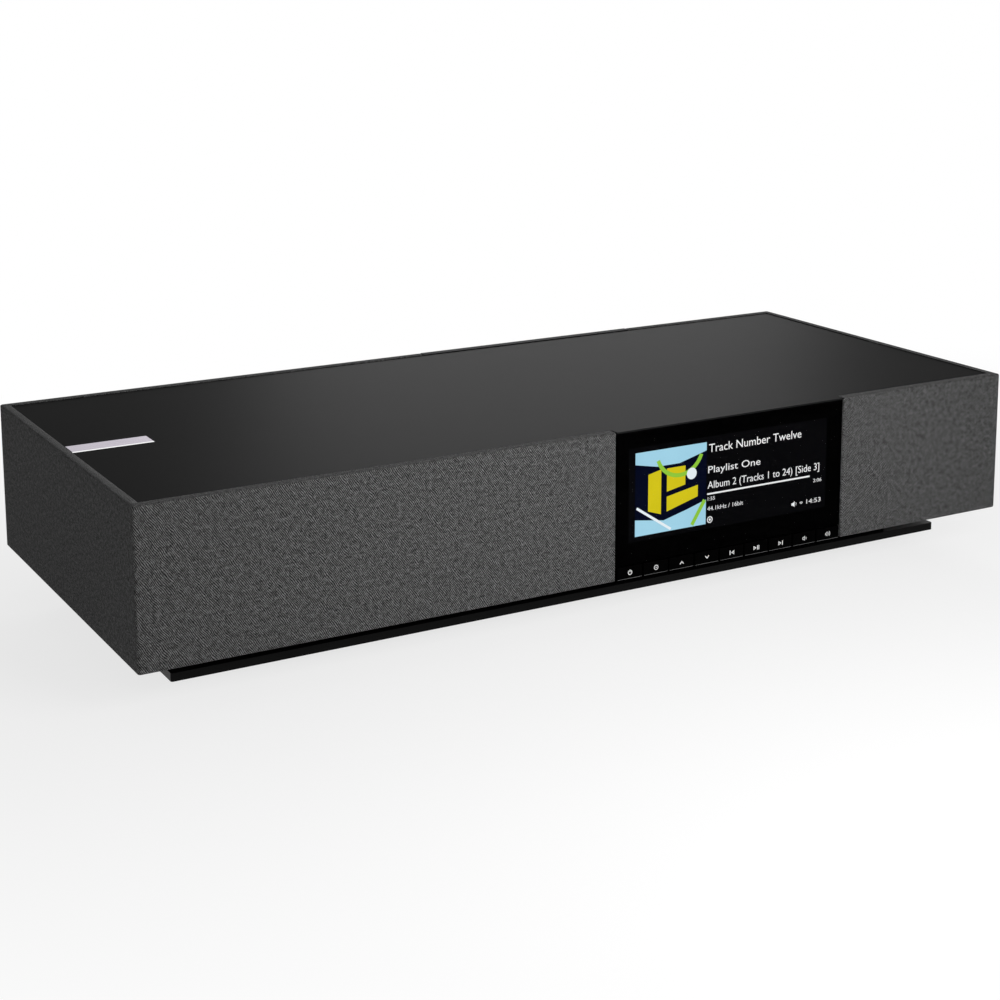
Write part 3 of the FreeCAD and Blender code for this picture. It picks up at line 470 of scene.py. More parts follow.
# The mark on each key, in millimetres about its middle
KEY_MARKS = {
    "key_power": [[arc_band(1.15, 1.75, 115, 310, 28)], [rectangle(-0.3, 0.3, 0.2, 2.0)]],
    "key_info": [[circle(1.8), circle(1.3)], [circle(0.4, 16)]],
    "key_up": [chevron(1)],
    "key_down": [chevron(-1)],
    "key_previous": [[rectangle(-2.0, -1.3, -1.6, 1.6)], triangle(1.9, -1)],
    "key_play_pause": [triangle(-2.6, 1), [rectangle(0.6, 1.2, -1.6, 1.6)],
                       [rectangle(1.8, 2.4, -1.6, 1.6)]],
    "key_next": [triangle(-1.9, 1), [rectangle(1.3, 2.0, -1.6, 1.6)]],
    "key_volume_down": [speaker_cone(-1.7), [arc_band(1.0, 1.5, -45, 90, 8, (0.3, 0.0))]],
    "key_volume_up": [speaker_cone(-2.4), [arc_band(0.9, 1.3, -50, 100, 8, (-0.3, 0.0))],
                      [arc_band(1.9, 2.4, -50, 100, 10, (-0.3, 0.0))]],
}

# The abstract picture, back to front, in shares of its side
PICTURE = (
    ("picture_ground", "#060a1e", [[rectangle(0, 1, 0, 1)]]),
    ("picture_blue", "#a6d8ec", [
        [[(0, 0.86), (0.3, 0.8), (0.62, 0.8), (1.0, 0.9), (1.0, 1.0), (0.0, 1.0)]],
        [[(0.0, 0.0), (1.0, 0.0), (1.0, 0.3), (0.72, 0.22), (0.4, 0.14), (0.0, 0.2)]]]),
    ("picture_yellow", "#d8c81c", [
        [[(0.18, 0.28), (0.36, 0.22), (0.36, 0.76), (0.18, 0.72)]],
        [[(0.44, 0.24), (0.88, 0.36), (0.88, 0.5), (0.44, 0.42)]],
        [[(0.44, 0.48), (0.7, 0.53), (0.7, 0.76), (0.44, 0.76)]]]),
    ("picture_lime", "#93cc3f", [[arc_band(0.3, 0.35, 200, 140, centre=(0.62, 0.98))],
                                 [stroke((0.8, 0.02), (0.98, 0.3), 0.05)]]),
    ("picture_white", "#eef6fa", [[stroke((0.02, 0.34), (0.5, 0.02), 0.03)],
                                  [circle(0.07, centre=(0.79, 0.65))]]),
)

# The display's bar, dot, loudspeaker and signal, in millimetres from the glass's lower left corner
DISPLAY_MARKS = (
    [stroke((76.45, 40.5), (166.85, 40.5), 1.2)],
    [circle(2.4, centre=(79.05, 21.7)), circle(1.7, centre=(79.05, 21.7))],
    [circle(0.9, centre=(79.05, 21.7))],
    [[(150.95, 20.7), (152.15, 20.7), (153.75, 19.4), (153.75, 23.8), (152.15, 22.5),
      (150.95, 22.5)]],
    [arc_band(1.2, 1.6, -45, 90, centre=(153.75, 21.6))],
    [arc_band(1.7, 2.2, 45, 90, centre=(159.65, 20.3))],
    [arc_band(0.7, 1.2, 45, 90, centre=(159.65, 20.3))],
)


# Meshes

def piece(name, mesh, material, body="cabinet"):
    """Link a finished mesh as one piece, which rides on a body if one is named."""
    made = bpy.data.objects.new(name, mesh)
    bpy.context.scene.collection.objects.link(made)
    mesh.name = name
    mesh.materials.clear()
    mesh.materials.append(material)
    if body:
        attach(made, body)
    return made


def mesh_of(bm):
    """Close a bmesh into a mesh with its faces turned outwards."""
    bmesh.ops.recalc_face_normals(bm, faces=bm.faces)
    mesh = bpy.data.meshes.new("mesh")
    bm.to_mesh(mesh)
    bm.free()
    return mesh


def raise_faces(bm, height):
    """Turn the flat faces of a bmesh into a closed block of that height."""
    grown = bmesh.ops.extrude_face_region(bm, geom=bm.faces[:])
    top = [v for v in grown["geom"] if isinstance(v, bmesh.types.BMVert)]
    bmesh.ops.translate(bm, verts=top, vec=(0, 0, height))


def plates(shapes, thick, scale=1.0):
    """One mesh of thin closed plates in the XY plane, from shapes drawn at a scale."""
    whole = bmesh.new()
    for shape in shapes:
        bm = bmesh.new()
        edges = []
        for ring in shape:
            corners = [bm.verts.new((x * scale, y * scale, 0)) for x, y in ring]
            edges += [bm.edges.new(pair) for pair in zip(corners, corners[1:] + corners[:1])]
        bmesh.ops.triangle_fill(bm, edges=edges, use_beauty=True)
        raise_faces(bm, thick)
        loose = bpy.data.meshes.new("loose")
        bm.to_mesh(loose)
        bm.free()
        whole.from_mesh(loose)
        bpy.data.meshes.remove(loose)
    return mesh_of(whole)


def stood_on_front(mesh, x, z, y):
    """Turn a plate drawn in XY to stand upright, facing the front, at a place."""
    mesh.transform(Matrix.Translation((x, y, z)) @ Matrix.Rotation(math.radians(90), 4, "X"))
    return mesh


def middle_of(node):
    """The middle of a node's box."""
    low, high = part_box(node)
    return (low + high) / 2


def words(text, high, start, stop, z, y):
    """A line of text as a flat mesh with capitals that high, fitted between two places."""
    curve = bpy.data.curves.new("words", "FONT")
    curve.body = text
    curve.resolution_u = 3
    loose = bpy.data.objects.new("words", curve)
    bpy.context.scene.collection.objects.link(loose)
    graph = bpy.context.evaluated_depsgraph_get()
    mesh = bpy.data.meshes.new_from_object(loose.evaluated_get(graph))
    bpy.data.objects.remove(loose)
    left = min(v.co.x for v in mesh.vertices)
    right = max(v.co.x for v in mesh.vertices)
    wide = (stop - start) / (right - left)
    mesh.transform(Matrix.Diagonal((wide, high / CAPITAL, 1, 1))
                   @ Matrix.Translation((-left, 0, 0)))
    return stood_on_front(mesh, start, z, y)


# Cloth covers

def near(a, b):
    """Whether two numbers give the same place."""
    return abs(a - b) < NEAR


def cover_ends(side):
    """Where a cover meets the fascia, where it ends outside, and which way out is."""
    if side == "left":
        return COVER_HIGH.x, COVER_LOW.x, -1
    return RIGHT_LOW.x, RIGHT_HIGH.x, 1


def cover_path(side, point, radius):
    """How far along the cover's outline a point lies, from the front end round to the rear."""
    end, far, out = cover_ends(side)
    straight = COVER_HIGH.y - radius
    run = abs(far - end) - radius
    quarter = radius * math.pi / 2
    beyond = (point.x - (far - out * radius)) * out
    if beyond > 0 and abs(point.y) > straight:
        angle = math.atan2(beyond, abs(point.y) - straight)
        if point.y < 0:
            return run + radius * angle
        return run + quarter + 2 * straight + radius * (math.pi / 2 - angle)
    if beyond > 0:
        return run + quarter + point.y + straight
    if point.y < 0:
        return abs(point.x - end)
    return 2 * (run + quarter + straight) - abs(point.x - end)


def cover_mesh(side, cover):
    """One cloth skin: a U seen from above, wrapped over the rims and the ends, edges soft."""
    end, far, out = cover_ends(side)
    half = COVER_HIGH.y
    low, high = COVER_LOW.z, COVER_HIGH.z
    inner_x = far - out * cover.rim_side
    inner_y = half - cover.rim_front
    plan = [(end, -half), (end, -inner_y), (inner_x, -inner_y), (inner_x, inner_y),
            (end, inner_y), (end, half), (far, half), (far, -half)]
    bm = bmesh.new()
    bm.faces.new([bm.verts.new((x, y, low)) for x, y in plan])
    raise_faces(bm, high - low)
    bmesh.ops.recalc_face_normals(bm, faces=bm.faces)

    def corner(edge):
        """Whether an edge stands at one of the two outer corners."""
        a, b = (v.co for v in edge.verts)
        return not near(a.z, b.z) and near(a.x, far) and near(abs(a.y), half)

    def fold(edge):
        """Whether the cloth folds over an edge: two of level, outside and at the end hold."""
        a, b = (v.co for v in edge.verts)
        level = near(a.z, b.z)
        at_end = near(a.x, end) and near(b.x, end)
        outside = all(abs(p.x - far) < cover.corner_radius + NEAR or near(abs(p.y), half)
                      for p in (a, b))
        return level + at_end + outside > 1

    def hidden(face):
        """Whether a face is an inner wall of the U, which lies against the frame."""
        centre, normal = face.calc_center_median(), face.normal
        side_wall = near(centre.x, inner_x) and normal.x * out < -TURNED
        long_wall = (near(abs(centre.y), inner_y) and abs(normal.y) > TURNED
                     and normal.y * centre.y < 0)
        return side_wall or long_wall

    for bent, radius, segments in ((corner, cover.corner_radius, 6),
                                   (fold, cover.edge_radius, 4)):
        bmesh.ops.bevel(bm, geom=[e for e in bm.edges if bent(e)], offset=radius,
                        segments=segments, affect="EDGES", profile=0.5)
    bm.normal_update()
    bmesh.ops.delete(bm, geom=[f for f in bm.faces if hidden(f)], context="FACES")

    cuts = []
    for axis, start, stop in ((0, min(end, far), max(end, far)), (1, -half, half),
                              (2, low, high)):
        count = max(2, round((stop - start) / cover.grid))
        cuts += [(axis, start + (stop - start) * i / count) for i in range(1, count)]
    for axis, place in [*cuts, (1, -inner_y), (1, inner_y), (0, inner_x)]:
        normal = Matrix.Identity(3)[axis]
        bmesh.ops.bisect_plane(bm, geom=bm.verts[:] + bm.edges[:] + bm.faces[:],
                               plane_co=normal * place, plane_no=normal)
    bm.normal_update()

    layer = bm.loops.layers.uv.new("weave")
    for face in bm.faces:
        in_front = face.calc_center_median().y < 0
        for loop in face.loops:
            point = loop.vert.co
            along = cover_path(side, point, cover.corner_radius)
            up = point.z
            if abs(face.normal.z) > TURNED:
                depth = min(half - abs(point.y), abs(far - point.x))
                up = high + depth if face.normal.z > 0 else low - depth
            elif face.normal.x * out < -TURNED:
                along = abs(point.y) - half if in_front else along + half - point.y
            loop[layer].uv = (out * along, up)
    mesh = bpy.data.meshes.new("cover")
    bm.to_mesh(mesh)
    bm.free()
    for polygon in mesh.polygons:
        polygon.use_smooth = True
    return mesh


class CoverSettings(PropertyGroup):
    """Sizes, weave and colours of the cloth covers."""

    rim_side: length_setting("Side rim", "Width of the cloth rim at the ends", 6)
    rim_front: length_setting("Front rim", "Width of the rim in front and behind", 7)
    thick: length_setting("Cloth thickness", "Thickness of the stretched cloth", 0.8)
    corner_radius: length_setting("Corner radius", "Radius of upright corners", 2.2)
    edge_radius: length_setting("Edge radius", "Radius over the rims and ends", 1.1)
    grid: length_setting("Grid", "Size of the faces of the skin", 12)
    warp: length_setting("Warp", "Distance from one upright yarn to the next", 0.345)
    weft: length_setting("Weft", "Distance from one level yarn to the next", 0.487)
    wander: FloatProperty(name="Wander", description="How far the yarns stray, counted in yarns",
                          default=5.0, min=0.0, max=20.0)
    rib_contrast: share_setting("Rib contrast", "How much paler the upright yarns are", 0.72)
    # Strength of the painted shade in the gaps between yarns
    painted_gap_shade: share_setting("Gap contrast", "How dark the gaps between yarns are", 0.11)
    speck_contrast: share_setting("Speck contrast", "How much short lengths of yarn differ", 0.9)
    heather: share_setting("Heather", "How mottled the cloth is as a whole", 0.26)
    dark_yarn: colour_setting("Dark yarn", "Colour of the darkest yarns", "#040404")
    light_yarn: colour_setting("Light yarn", "Colour of the pale yarns", "#7e7e7e")


class SPEAKER_OT_cloth_covers(Operator):
    """Stretch a cloth skin over each end of the cabinet"""

    bl_idname = "speaker.cloth_covers"
    bl_label = "Cloth covers"

    def execute(self, context):
        cover = context.scene.speaker_cover
        cloth = charcoal_twill(cover)
        for side in SIDES:
            node = "grille_cloth_" + side
            made = piece("cloth_cover_" + side, cover_mesh(side, cover), cloth)
            shell = made.modifiers.new("Thickness", "SOLIDIFY")
            shell.thickness = cover.thick
            shell.offset = -1.0
            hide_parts(node)
        return {"FINISHED"}


# Finishes of the carried-over nodes

class FinishSettings(PropertyGroup):
    """The lid's finish, and the lines of painted shadow on it."""

    colour: colour_setting("Lid colour", "Colour of the anodised lid", "#1a1a1a")
    roughness: share_setting("Lid roughness", "How soft its highlight is", 0.42)
    roughness_spread: share_setting("Roughness spread", "How far its grain varies it", 0.03)
    shine: share_setting("Lid shine", "Strength of its reflection", 0.002)
    # The lid line and lid lap size the strip of painted shadow over the gap round the lid; the
    # plate line and plate end size the one in the groove round the name plate
    lid_line: length_setting("Lid line", "Width of the seal round the lid", 0.9)
    lid_lap: length_setting("Lid lap", "How far the seal covers the gap round the lid", 0.3)
    plate_line: length_setting("Plate line", "Width of the groove round the name plate", 0.8)
    plate_end: length_setting("Plate end", "Width of the groove at the plate's far end", 0.1)
    rise: length_setting("Line rise", "How far these lines stand on the lid", 0.05)
    step: length_setting("Line step", "How far the groove lies over the seal", 0.01)


class SPEAKER_OT_finishes(Operator):
    """Give every rigid piece its real finish"""

    bl_idname = "speaker.finishes"
    bl_label = "Finishes"

    def execute(self, context):
        own = {
            "satin_panel": satin_aluminium(context.scene.speaker_finish),
            "bare_metal": brushed_aluminium(),
            "black_glass": cover_glass(),
            "black_gloss": key_gloss(),
            "circuit_board": circuit_board(),
        }
        slots = {s["node"]: s["material_slot"] for s in frame["record"]["subparts"]}
        # All that shows of the carrier is its lip, which carries on the lid
        slots["front_bezel"] = "satin_panel"
        for name, node in frame["nodes"].items():
            material = own.get(slots[name]) or finish_for(slots[name])
            if not node.data.materials:
                node.data.materials.append(material)
            for i in range(len(node.data.materials)):
                node.data.materials[i] = material
        return {"FINISHED"}


class SPEAKER_OT_dark_lines(Operator):
    """Lay black strips of painted shadow in the gap round the lid and in the groove round the name
    plate
    """

    bl_idname = "speaker.dark_lines"
    bl_label = "Dark lines"

    def execute(self, context):
        finish = context.scene.speaker_finish
        lap, line = finish.lid_lap, finish.plate_line
        inset = finish.lid_line - lap
        low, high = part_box("name_plate")
        # Each line is a black strip of painted shadow, standing on the lid where the gaps are in
        # shade
        lines = (
            ("lid_gap_shadow", LID_HIGH.z,
             rectangle(LID_LOW.x - lap, LID_HIGH.x + lap, LID_LOW.y - lap, LID_HIGH.y + lap),
             rectangle(LID_LOW.x + inset, LID_HIGH.x - inset, LID_LOW.y + inset,
                       LID_HIGH.y - inset)),
            ("plate_groove_shadow", LID_HIGH.z + finish.step,
             rectangle(low.x, high.x + line, low.y - line, high.y + line),
             rectangle(low.x + finish.plate_end, high.x, low.y, high.y)),
        )
        for name, z, outer, inner in lines:
            mesh = plates([[outer, inner]], finish.rise)
            mesh.transform(Matrix.Translation((0, 0, z)))
            piece(name, mesh, finish_for("foam"))
        return {"FINISHED"}


# Display and glass

class DisplaySettings(PropertyGroup):
    """Places on the display, from the glass's lower left corner, and what it says."""

    art_left: length_setting("Art left", "Left edge of the square picture", 16.3)
    art_bottom: length_setting("Art bottom", "Bottom edge of the picture", 19.0)
    art_size: length_setting("Art size", "Side of the square picture", 59.2)
    title: StringProperty(name="Title", description="First line", default="Track Number Twelve")
    second: StringProperty(name="Second line", description="Second line",
                           default="Playlist One")
    third: StringProperty(name="Third line", description="Third line",
                          default="Album 2 (Tracks 1 to 24) [Side 3]")
    brightness: FloatProperty(name="Brightness", description="Strength of the lit parts",
                              default=1.0, min=0.0, max=4.0)
    backlight: share_setting("Backlight", "How strongly the dark parts glow", 0.6)


class MaskSettings(PropertyGroup):
    """The black print behind the glass, and the clear window in it."""

    window: length_setting("Window inset", "Display's edge to the window's edge", 3)
    edge: length_setting("Edge", "Glass's edge to the print", 0.2)
    behind: length_setting("Behind", "How far the print lies inside the glass's back", 0.05)


def window_from(x, z, inset):
    """The clear window over the display, as seen from a place on the front."""
    return rectangle(SCREEN_LOW.x - x + inset, SCREEN_HIGH.x - x - inset,
                     SCREEN_LOW.z - z + inset, SCREEN_HIGH.z - z - inset)


class SPEAKER_OT_glass_print(Operator):
    """Print the black border on the back of the glass, with a window for the display"""

    bl_idname = "speaker.glass_print"
    bl_label = "Glass print"

    def execute(self, context):
        mask = context.scene.speaker_mask
        wide, tall = GLASS_HIGH.x - GLASS_LOW.x, GLASS_HIGH.z - GLASS_LOW.z
        border = rectangle(mask.edge, wide - mask.edge, mask.edge, tall - mask.edge)
        window = window_from(GLASS_LOW.x, GLASS_LOW.z, mask.window)
        mesh = plates([[border, window]], INK)
        stood_on_front(mesh, GLASS_LOW.x, GLASS_LOW.z, GLASS_HIGH.y - mask.behind)
        piece("glass_print", mesh, finish_for("glass_ink"))
        return {"FINISHED"}


class SPEAKER_OT_display(Operator):
    """Light the display: an abstract picture, three lines, a bar, times and small marks"""

    bl_idname = "speaker.display"
    bl_label = "Display"

    def execute(self, context):
        show = context.scene.speaker_display
        inset = context.scene.speaker_mask.window
        x, y, z = GLASS_LOW.x + show.art_left, SCREEN_LOW.y, GLASS_LOW.z + show.art_bottom
        ground = plates([[window_from(x, z, inset)]], INK)
        stood_on_front(ground, x, z, y)
        dim = lit_pixels("display_backlight", "#0b0b0d", show.backlight * show.brightness)
        piece("display_backlight", ground, dim)
        for layer, (name, colour, shapes) in enumerate(PICTURE, start=1):
            mesh = plates(shapes, INK, show.art_size)
            stood_on_front(mesh, x, z, y - layer * LAYER)
            piece(name, mesh, lit_pixels(name, colour, show.brightness))

        white = lit_pixels("white", "#f4f4f4", show.brightness)
        # Name, text, height of a capital, start, stop and height over the glass's lower edge
        lines = (
            ("words_title", show.title, 6.0, 77.45, 158.45, 70.5),
            ("words_second", show.second, 5.1, 77.05, 122.35, 55.5),
            ("words_third", show.third, 5.3, 76.75, 175.45, 44.3),
            ("words_elapsed", "1:55", 2.6, 77.05, 83.15, 35.7),
            ("words_total", "2:06", 2.6, 170.15, 177.75, 35.4),
            ("words_format", "44.1kHz / 16bit", 3.1, 76.75, 107.75, 28.3),
            ("words_clock", "14:53", 3.3, 164.45, 177.45, 20.2),
        )
        for name, text, high, start, stop, up in lines:
            mesh = words(text, high * MM, GLASS_LOW.x + start * MM, GLASS_LOW.x + stop * MM,
                         GLASS_LOW.z + up * MM, y - WORDS_AHEAD)
            piece(name, mesh, white)
        marks = plates(DISPLAY_MARKS, INK, MM)
        stood_on_front(marks, GLASS_LOW.x, GLASS_LOW.z, y - WORDS_AHEAD)
        piece("display_marks", marks, white)
        return {"FINISHED"}


# Key marks

class MarkSettings(PropertyGroup):
    """Size of the printed key marks."""

    scale: FloatProperty(name="Mark size", description="Size against the drawn marks",
                         default=1.0, min=0.3, max=2.0)
    thick: length_setting("Ink thickness", "Thickness of the printed ink", 0.03)


class SPEAKER_OT_key_marks(Operator):
    """Print a mark on each key"""

    bl_idname = "speaker.key_marks"
    bl_label = "Key marks"

    def execute(self, context):
        mark = context.scene.speaker_mark
        for key, shapes in KEY_MARKS.items():
            mesh = plates(shapes, mark.thick, mark.scale * MM)
            middle = middle_of(key)
            stood_on_front(mesh, middle.x, middle.z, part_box(key)[0].y)
            piece("mark_" + key, mesh, finish_for("key_ink"), body=key)
        return {"FINISHED"}


# Screws and contacts

def node_group(name, inputs):
    """A geometry tree with named inputs and one geometry output."""
    tree = bpy.data.node_groups.new(name, "GeometryNodeTree")
    for label, kind, value in inputs:
        socket = tree.interface.new_socket(label, in_out="INPUT", socket_type=kind)
        if value is not None:
            socket.default_value = value
    tree.interface.new_socket("Geometry", in_out="OUTPUT", socket_type="NodeSocketGeometry")
    return tree


def close_tree(tree, placed, finish):
    """Make a tree's instances real, coat them and hand them out."""
    real = add(tree, "GeometryNodeRealizeInstances", {"Geometry": placed})
    coated = add(tree, "GeometryNodeSetMaterial", {"Geometry": real, "Material": finish})
    add(tree, "NodeGroupOutput", {"Geometry": coated})
    return tree


def grown(name, tree, points, values, slot):
    """Run a geometry tree over points and keep the result as one plain piece."""
    mesh = bpy.data.meshes.new(name)
    mesh.from_pydata(points, [], [])
    holder = bpy.data.objects.new(name, mesh)
    bpy.context.scene.collection.objects.link(holder)
    modifier = holder.modifiers.new("Nodes", "NODES")
    modifier.node_group = tree
    for item in tree.interface.items_tree:
        if item.in_out == "INPUT" and item.name in values:
            modifier[item.identifier] = values[item.name]
    graph = bpy.context.evaluated_depsgraph_get()
    made = bpy.data.meshes.new_from_object(holder.evaluated_get(graph))
    bpy.data.objects.remove(holder)
    return piece(name, made, values["Finish"])


def screw_tree():
    """A pan head with a cross recess on every point, turned to face the way it is told."""
    tree = node_group("Screws", (
        ("Points", "NodeSocketGeometry", None),
        ("Head radius", "NodeSocketFloat", 0.003),
        ("Head height", "NodeSocketFloat", 0.0012),
        ("Recess width", "NodeSocketFloat", 0.0008),
        ("Facing", "NodeSocketVector", (0.0, 0.0, 0.0)),
        ("Finish", "NodeSocketMaterial", None),
    ))
    given = add(tree, "NodeGroupInput").outputs
    radius, height, width = (given[name] for name in ("Head radius", "Head height",
                                                      "Recess width"))
    head = add(tree, "GeometryNodeMeshCylinder",
               {"Radius": radius, "Depth": height, "Vertices": 24})
    cut = add(tree, "GeometryNodeMeshBoolean", {"Mesh 1": head}, operation="DIFFERENCE")
    # Each arm is 1.2 radii long, and the cross is cut into the head's upper 0.4
    arm = add(tree, "ShaderNodeMath", (radius, 1.2), operation="MULTIPLY").outputs[0]
    rise = add(tree, "ShaderNodeMath", (height, 0.6), operation="MULTIPLY")
    lift = add(tree, "ShaderNodeCombineXYZ", {"Z": rise})
    for x, y in ((arm, width), (width, arm)):
        size = add(tree, "ShaderNodeCombineXYZ", (x, y, height))
        bar = add(tree, "GeometryNodeMeshCube", {"Size": size})
        lifted = add(tree, "GeometryNodeTransform", {"Geometry": bar, "Translation": lift})
        tree.links.new(lifted.outputs[0], cut.inputs["Mesh 2"])
    placed = add(tree, "GeometryNodeInstanceOnPoints",
                 {"Points": given["Points"], "Instance": cut, "Rotation": given["Facing"]})
    return close_tree(tree, placed, given["Finish"])


def contact_tree():
    """A row of flat contacts that starts at every point."""
    tree = node_group("Contacts", (
        ("Points", "NodeSocketGeometry", None),
        ("Count", "NodeSocketInt", 8),
        ("Pitch", "NodeSocketFloat", 0.001),
        ("Size", "NodeSocketVector", (0.0005, 0.008, 0.0003)),
        ("Finish", "NodeSocketMaterial", None),
    ))
    given = add(tree, "NodeGroupInput").outputs
    one = add(tree, "GeometryNodeMeshCube", {"Size": given["Size"]})
    step = add(tree, "ShaderNodeCombineXYZ", {"X": given["Pitch"]})
    row = add(tree, "GeometryNodeMeshLine", {"Count": given["Count"], "Offset": step})
    along = add(tree, "GeometryNodeInstanceOnPoints", {"Points": row, "Instance": one})
    placed = add(tree, "GeometryNodeInstanceOnPoints",
                 {"Points": given["Points"], "Instance": along})
    return close_tree(tree, placed, given["Finish"])


class ScrewSettings(PropertyGroup):
    """Sizes and places of the screws at the back and underneath."""

    head_radius: length_setting("Head radius", "Radius of a pan head", 3)
    head_height: length_setting("Head height", "Height of a pan head", 1)
    recess: length_setting("Recess width", "Width of one arm of the cross", 0.8)
    proud: share_setting("Proud", "Middle of a head over its panel, as a share of it", 0.4)
    from_edge: length_setting("From edge", "Screw's middle to the back cover's edge", 7)
    base_end: length_setting("Base end", "Screw's middle to the base plate's end", 60)
    base_edge: length_setting("Base edge", "Screw's middle to the base plate's front", 20)


class SPEAKER_OT_screws(Operator):
    """Fasten the back cover and the base plate with cross head screws"""

    bl_idname = "speaker.screws"
    bl_label = "Screws"

    def execute(self, context):
        screw = context.scene.speaker_screw
        tree = screw_tree()
        proud = screw.head_height * screw.proud
        edge, base_end, base_edge = screw.from_edge, screw.base_end, screw.base_edge
        x0, x1 = REAR_LOW.x + edge, REAR_HIGH.x - edge
        rear = [(x, REAR_HIGH.y + proud, z) for x in (x0, (x0 + x1) / 2, x1)
                for z in (REAR_LOW.z + edge, REAR_HIGH.z - edge)]
        base = [(x, y, BASE_LOW.z - proud)
                for x in (BASE_LOW.x + base_end, 0.0, BASE_HIGH.x - base_end)
                for y in (BASE_LOW.y + base_edge, BASE_HIGH.y - base_edge)]
        values = {"Head radius": screw.head_radius, "Head height": screw.head_height,
                  "Recess width": screw.recess, "Finish": finish_for("oxide")}
        for name, points, turn in (("rear_screws", rear, -90), ("base_screws", base, 180)):
            values["Facing"] = (math.radians(turn), 0.0, 0.0)
            grown(name, tree, points, values, "magnet_steel")
        return {"FINISHED"}


class SPEAKER_OT_contacts(Operator):
    """Put the spring contacts into the network, screen and data sockets"""

    bl_idname = "speaker.contacts"
    bl_label = "Contacts"

    def execute(self, context):
        tree = contact_tree()
        # Name, socket, count, pitch, size, place from the socket's floor to its top and shift
        rows = (
            ("network_contacts", "network_socket", 8, 1.02, (0.45, 9.0, 0.3), 1.0, -1.4),
            ("hdmi_contacts", "hdmi_socket", 10, 1.0, (0.4, 8.0, 0.2), 0.5, 0.72),
            ("usb_contacts", "usb_socket", 4, 2.3, (1.0, 8.0, 0.2), 0.5, 0.72),
        )
        behind_mouth = 3.0
        for name, node, count, pitch, size, share, shift in rows:
            low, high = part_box(node)
            x = (low.x + high.x) / 2 - pitch * (count - 1) / 2 * MM
            y = high.y - (size[1] / 2 + behind_mouth) * MM
            z = low.z + (high.z - low.z) * share + shift * MM
            values = {"Count": count, "Pitch": pitch * MM, "Size": [s * MM for s in size],
                      "Finish": finish_for("contact")}
            grown(name, tree, [(x, y, z)], values, "socket_gold")
        return {"FINISHED"}


# Rolls round the woofers

class RollSettings(PropertyGroup):
    """Sizes of the rubber rolls that carry the woofers' diaphragms."""

    sectors: IntProperty(name="Sectors", description="How many parts each roll flexes in",
                         default=12, min=8, max=32)
    steps: IntProperty(name="Steps", description="Faces along the rim of one sector",
                       default=4, min=1, max=12)
    across: IntProperty(name="Across", description="Faces across the arch of the roll",
                        default=6, min=3, max=24)
    lap: length_setting("Lap", "Width of the part glued on the diaphragm", 2)
    seat: length_setting("Seat", "Width of the part glued on the frame", 1.5)
    skin: length_setting("Skin", "Thickness of the rubber at its edges", 0.6)


def roll_sector(centre, profile, start, turn, steps):
    """Part of a ring about an axis along Y, from a closed section of radius and Y pairs."""
    bm = bmesh.new()
    rows = []
    for i in range(steps + 1):
        angle = start + turn * i / steps
        rows.append([bm.verts.new((centre.x + r * math.cos(angle), y,
                                   centre.z + r * math.sin(angle))) for r, y in profile])
    for row, beside in zip(rows, rows[1:]):
        for j in range(len(row)):
            k = (j + 1) % len(row)
            bm.faces.new((row[j], row[k], beside[k], beside[j]))
    for cap in (rows[0], rows[-1]):
        bm.faces.new(cap)
    return mesh_of(bm)


class SPEAKER_OT_woofer_rolls(Operator):
    """Mould the rolls round the woofers, each in sectors between frame and diaphragm"""

    bl_idname = "speaker.woofer_rolls"
    bl_label = "Woofer rolls"

    def execute(self, context):
        roll = context.scene.speaker_roll
        low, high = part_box("woofer_rolls")
        back, front = high.y, low.y
        lip = back - roll.skin
        outer = (high.z - low.z) / 2
        fixed = outer - roll.seat
        turn = math.tau / roll.sectors
        for side in SIDES:
            body = "woofer_diaphragm_" + side
            body_low, body_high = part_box(body)
            centre = (body_low + body_high) / 2
            piston = (body_high.x - body_low.x) / 2
            arch = []
            for i in range(roll.across + 1):
                share = i / roll.across
                arch.append((piston + (fixed - piston) * share,
                             (lip - front) * math.sin(math.pi * share)))
            profile = [(piston - roll.lap, back), (piston - roll.lap, lip),
                       *((r, lip - rise) for r, rise in arch), (outer, lip), (outer, back),
                       *((r, back - rise) for r, rise in reversed(arch))]
            for i in range(roll.sectors):
                name = body.replace("diaphragm", "roll") + "_" + str(i + 1)
                mesh = roll_sector(centre, profile, turn * i, turn, roll.steps)
                made = piece(name, mesh, finish_for("roll"), body=None)
                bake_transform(made)
                if i == 0:
                    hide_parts("woofer_rolls")
        return {"FINISHED"}


# Faces of the line inputs

class LineInputSettings(PropertyGroup):
    """Sizes of the face and the rings round the line inputs."""

    barrel: length_setting("Barrel radius", "Outer radius of a gold barrel", 4.15)
    pitch: length_setting("Pitch", "Distance between the two barrels", 14)
    length: length_setting("Barrel length", "How far a barrel stands out", 9)
    gap: length_setting("Gap", "Clearance round a barrel", 0.15)
    thick: length_setting("Face thickness", "Thickness of the face and rings", 0.6)
    ring: length_setting("Ring width", "Width of a coloured ring", 1.1)


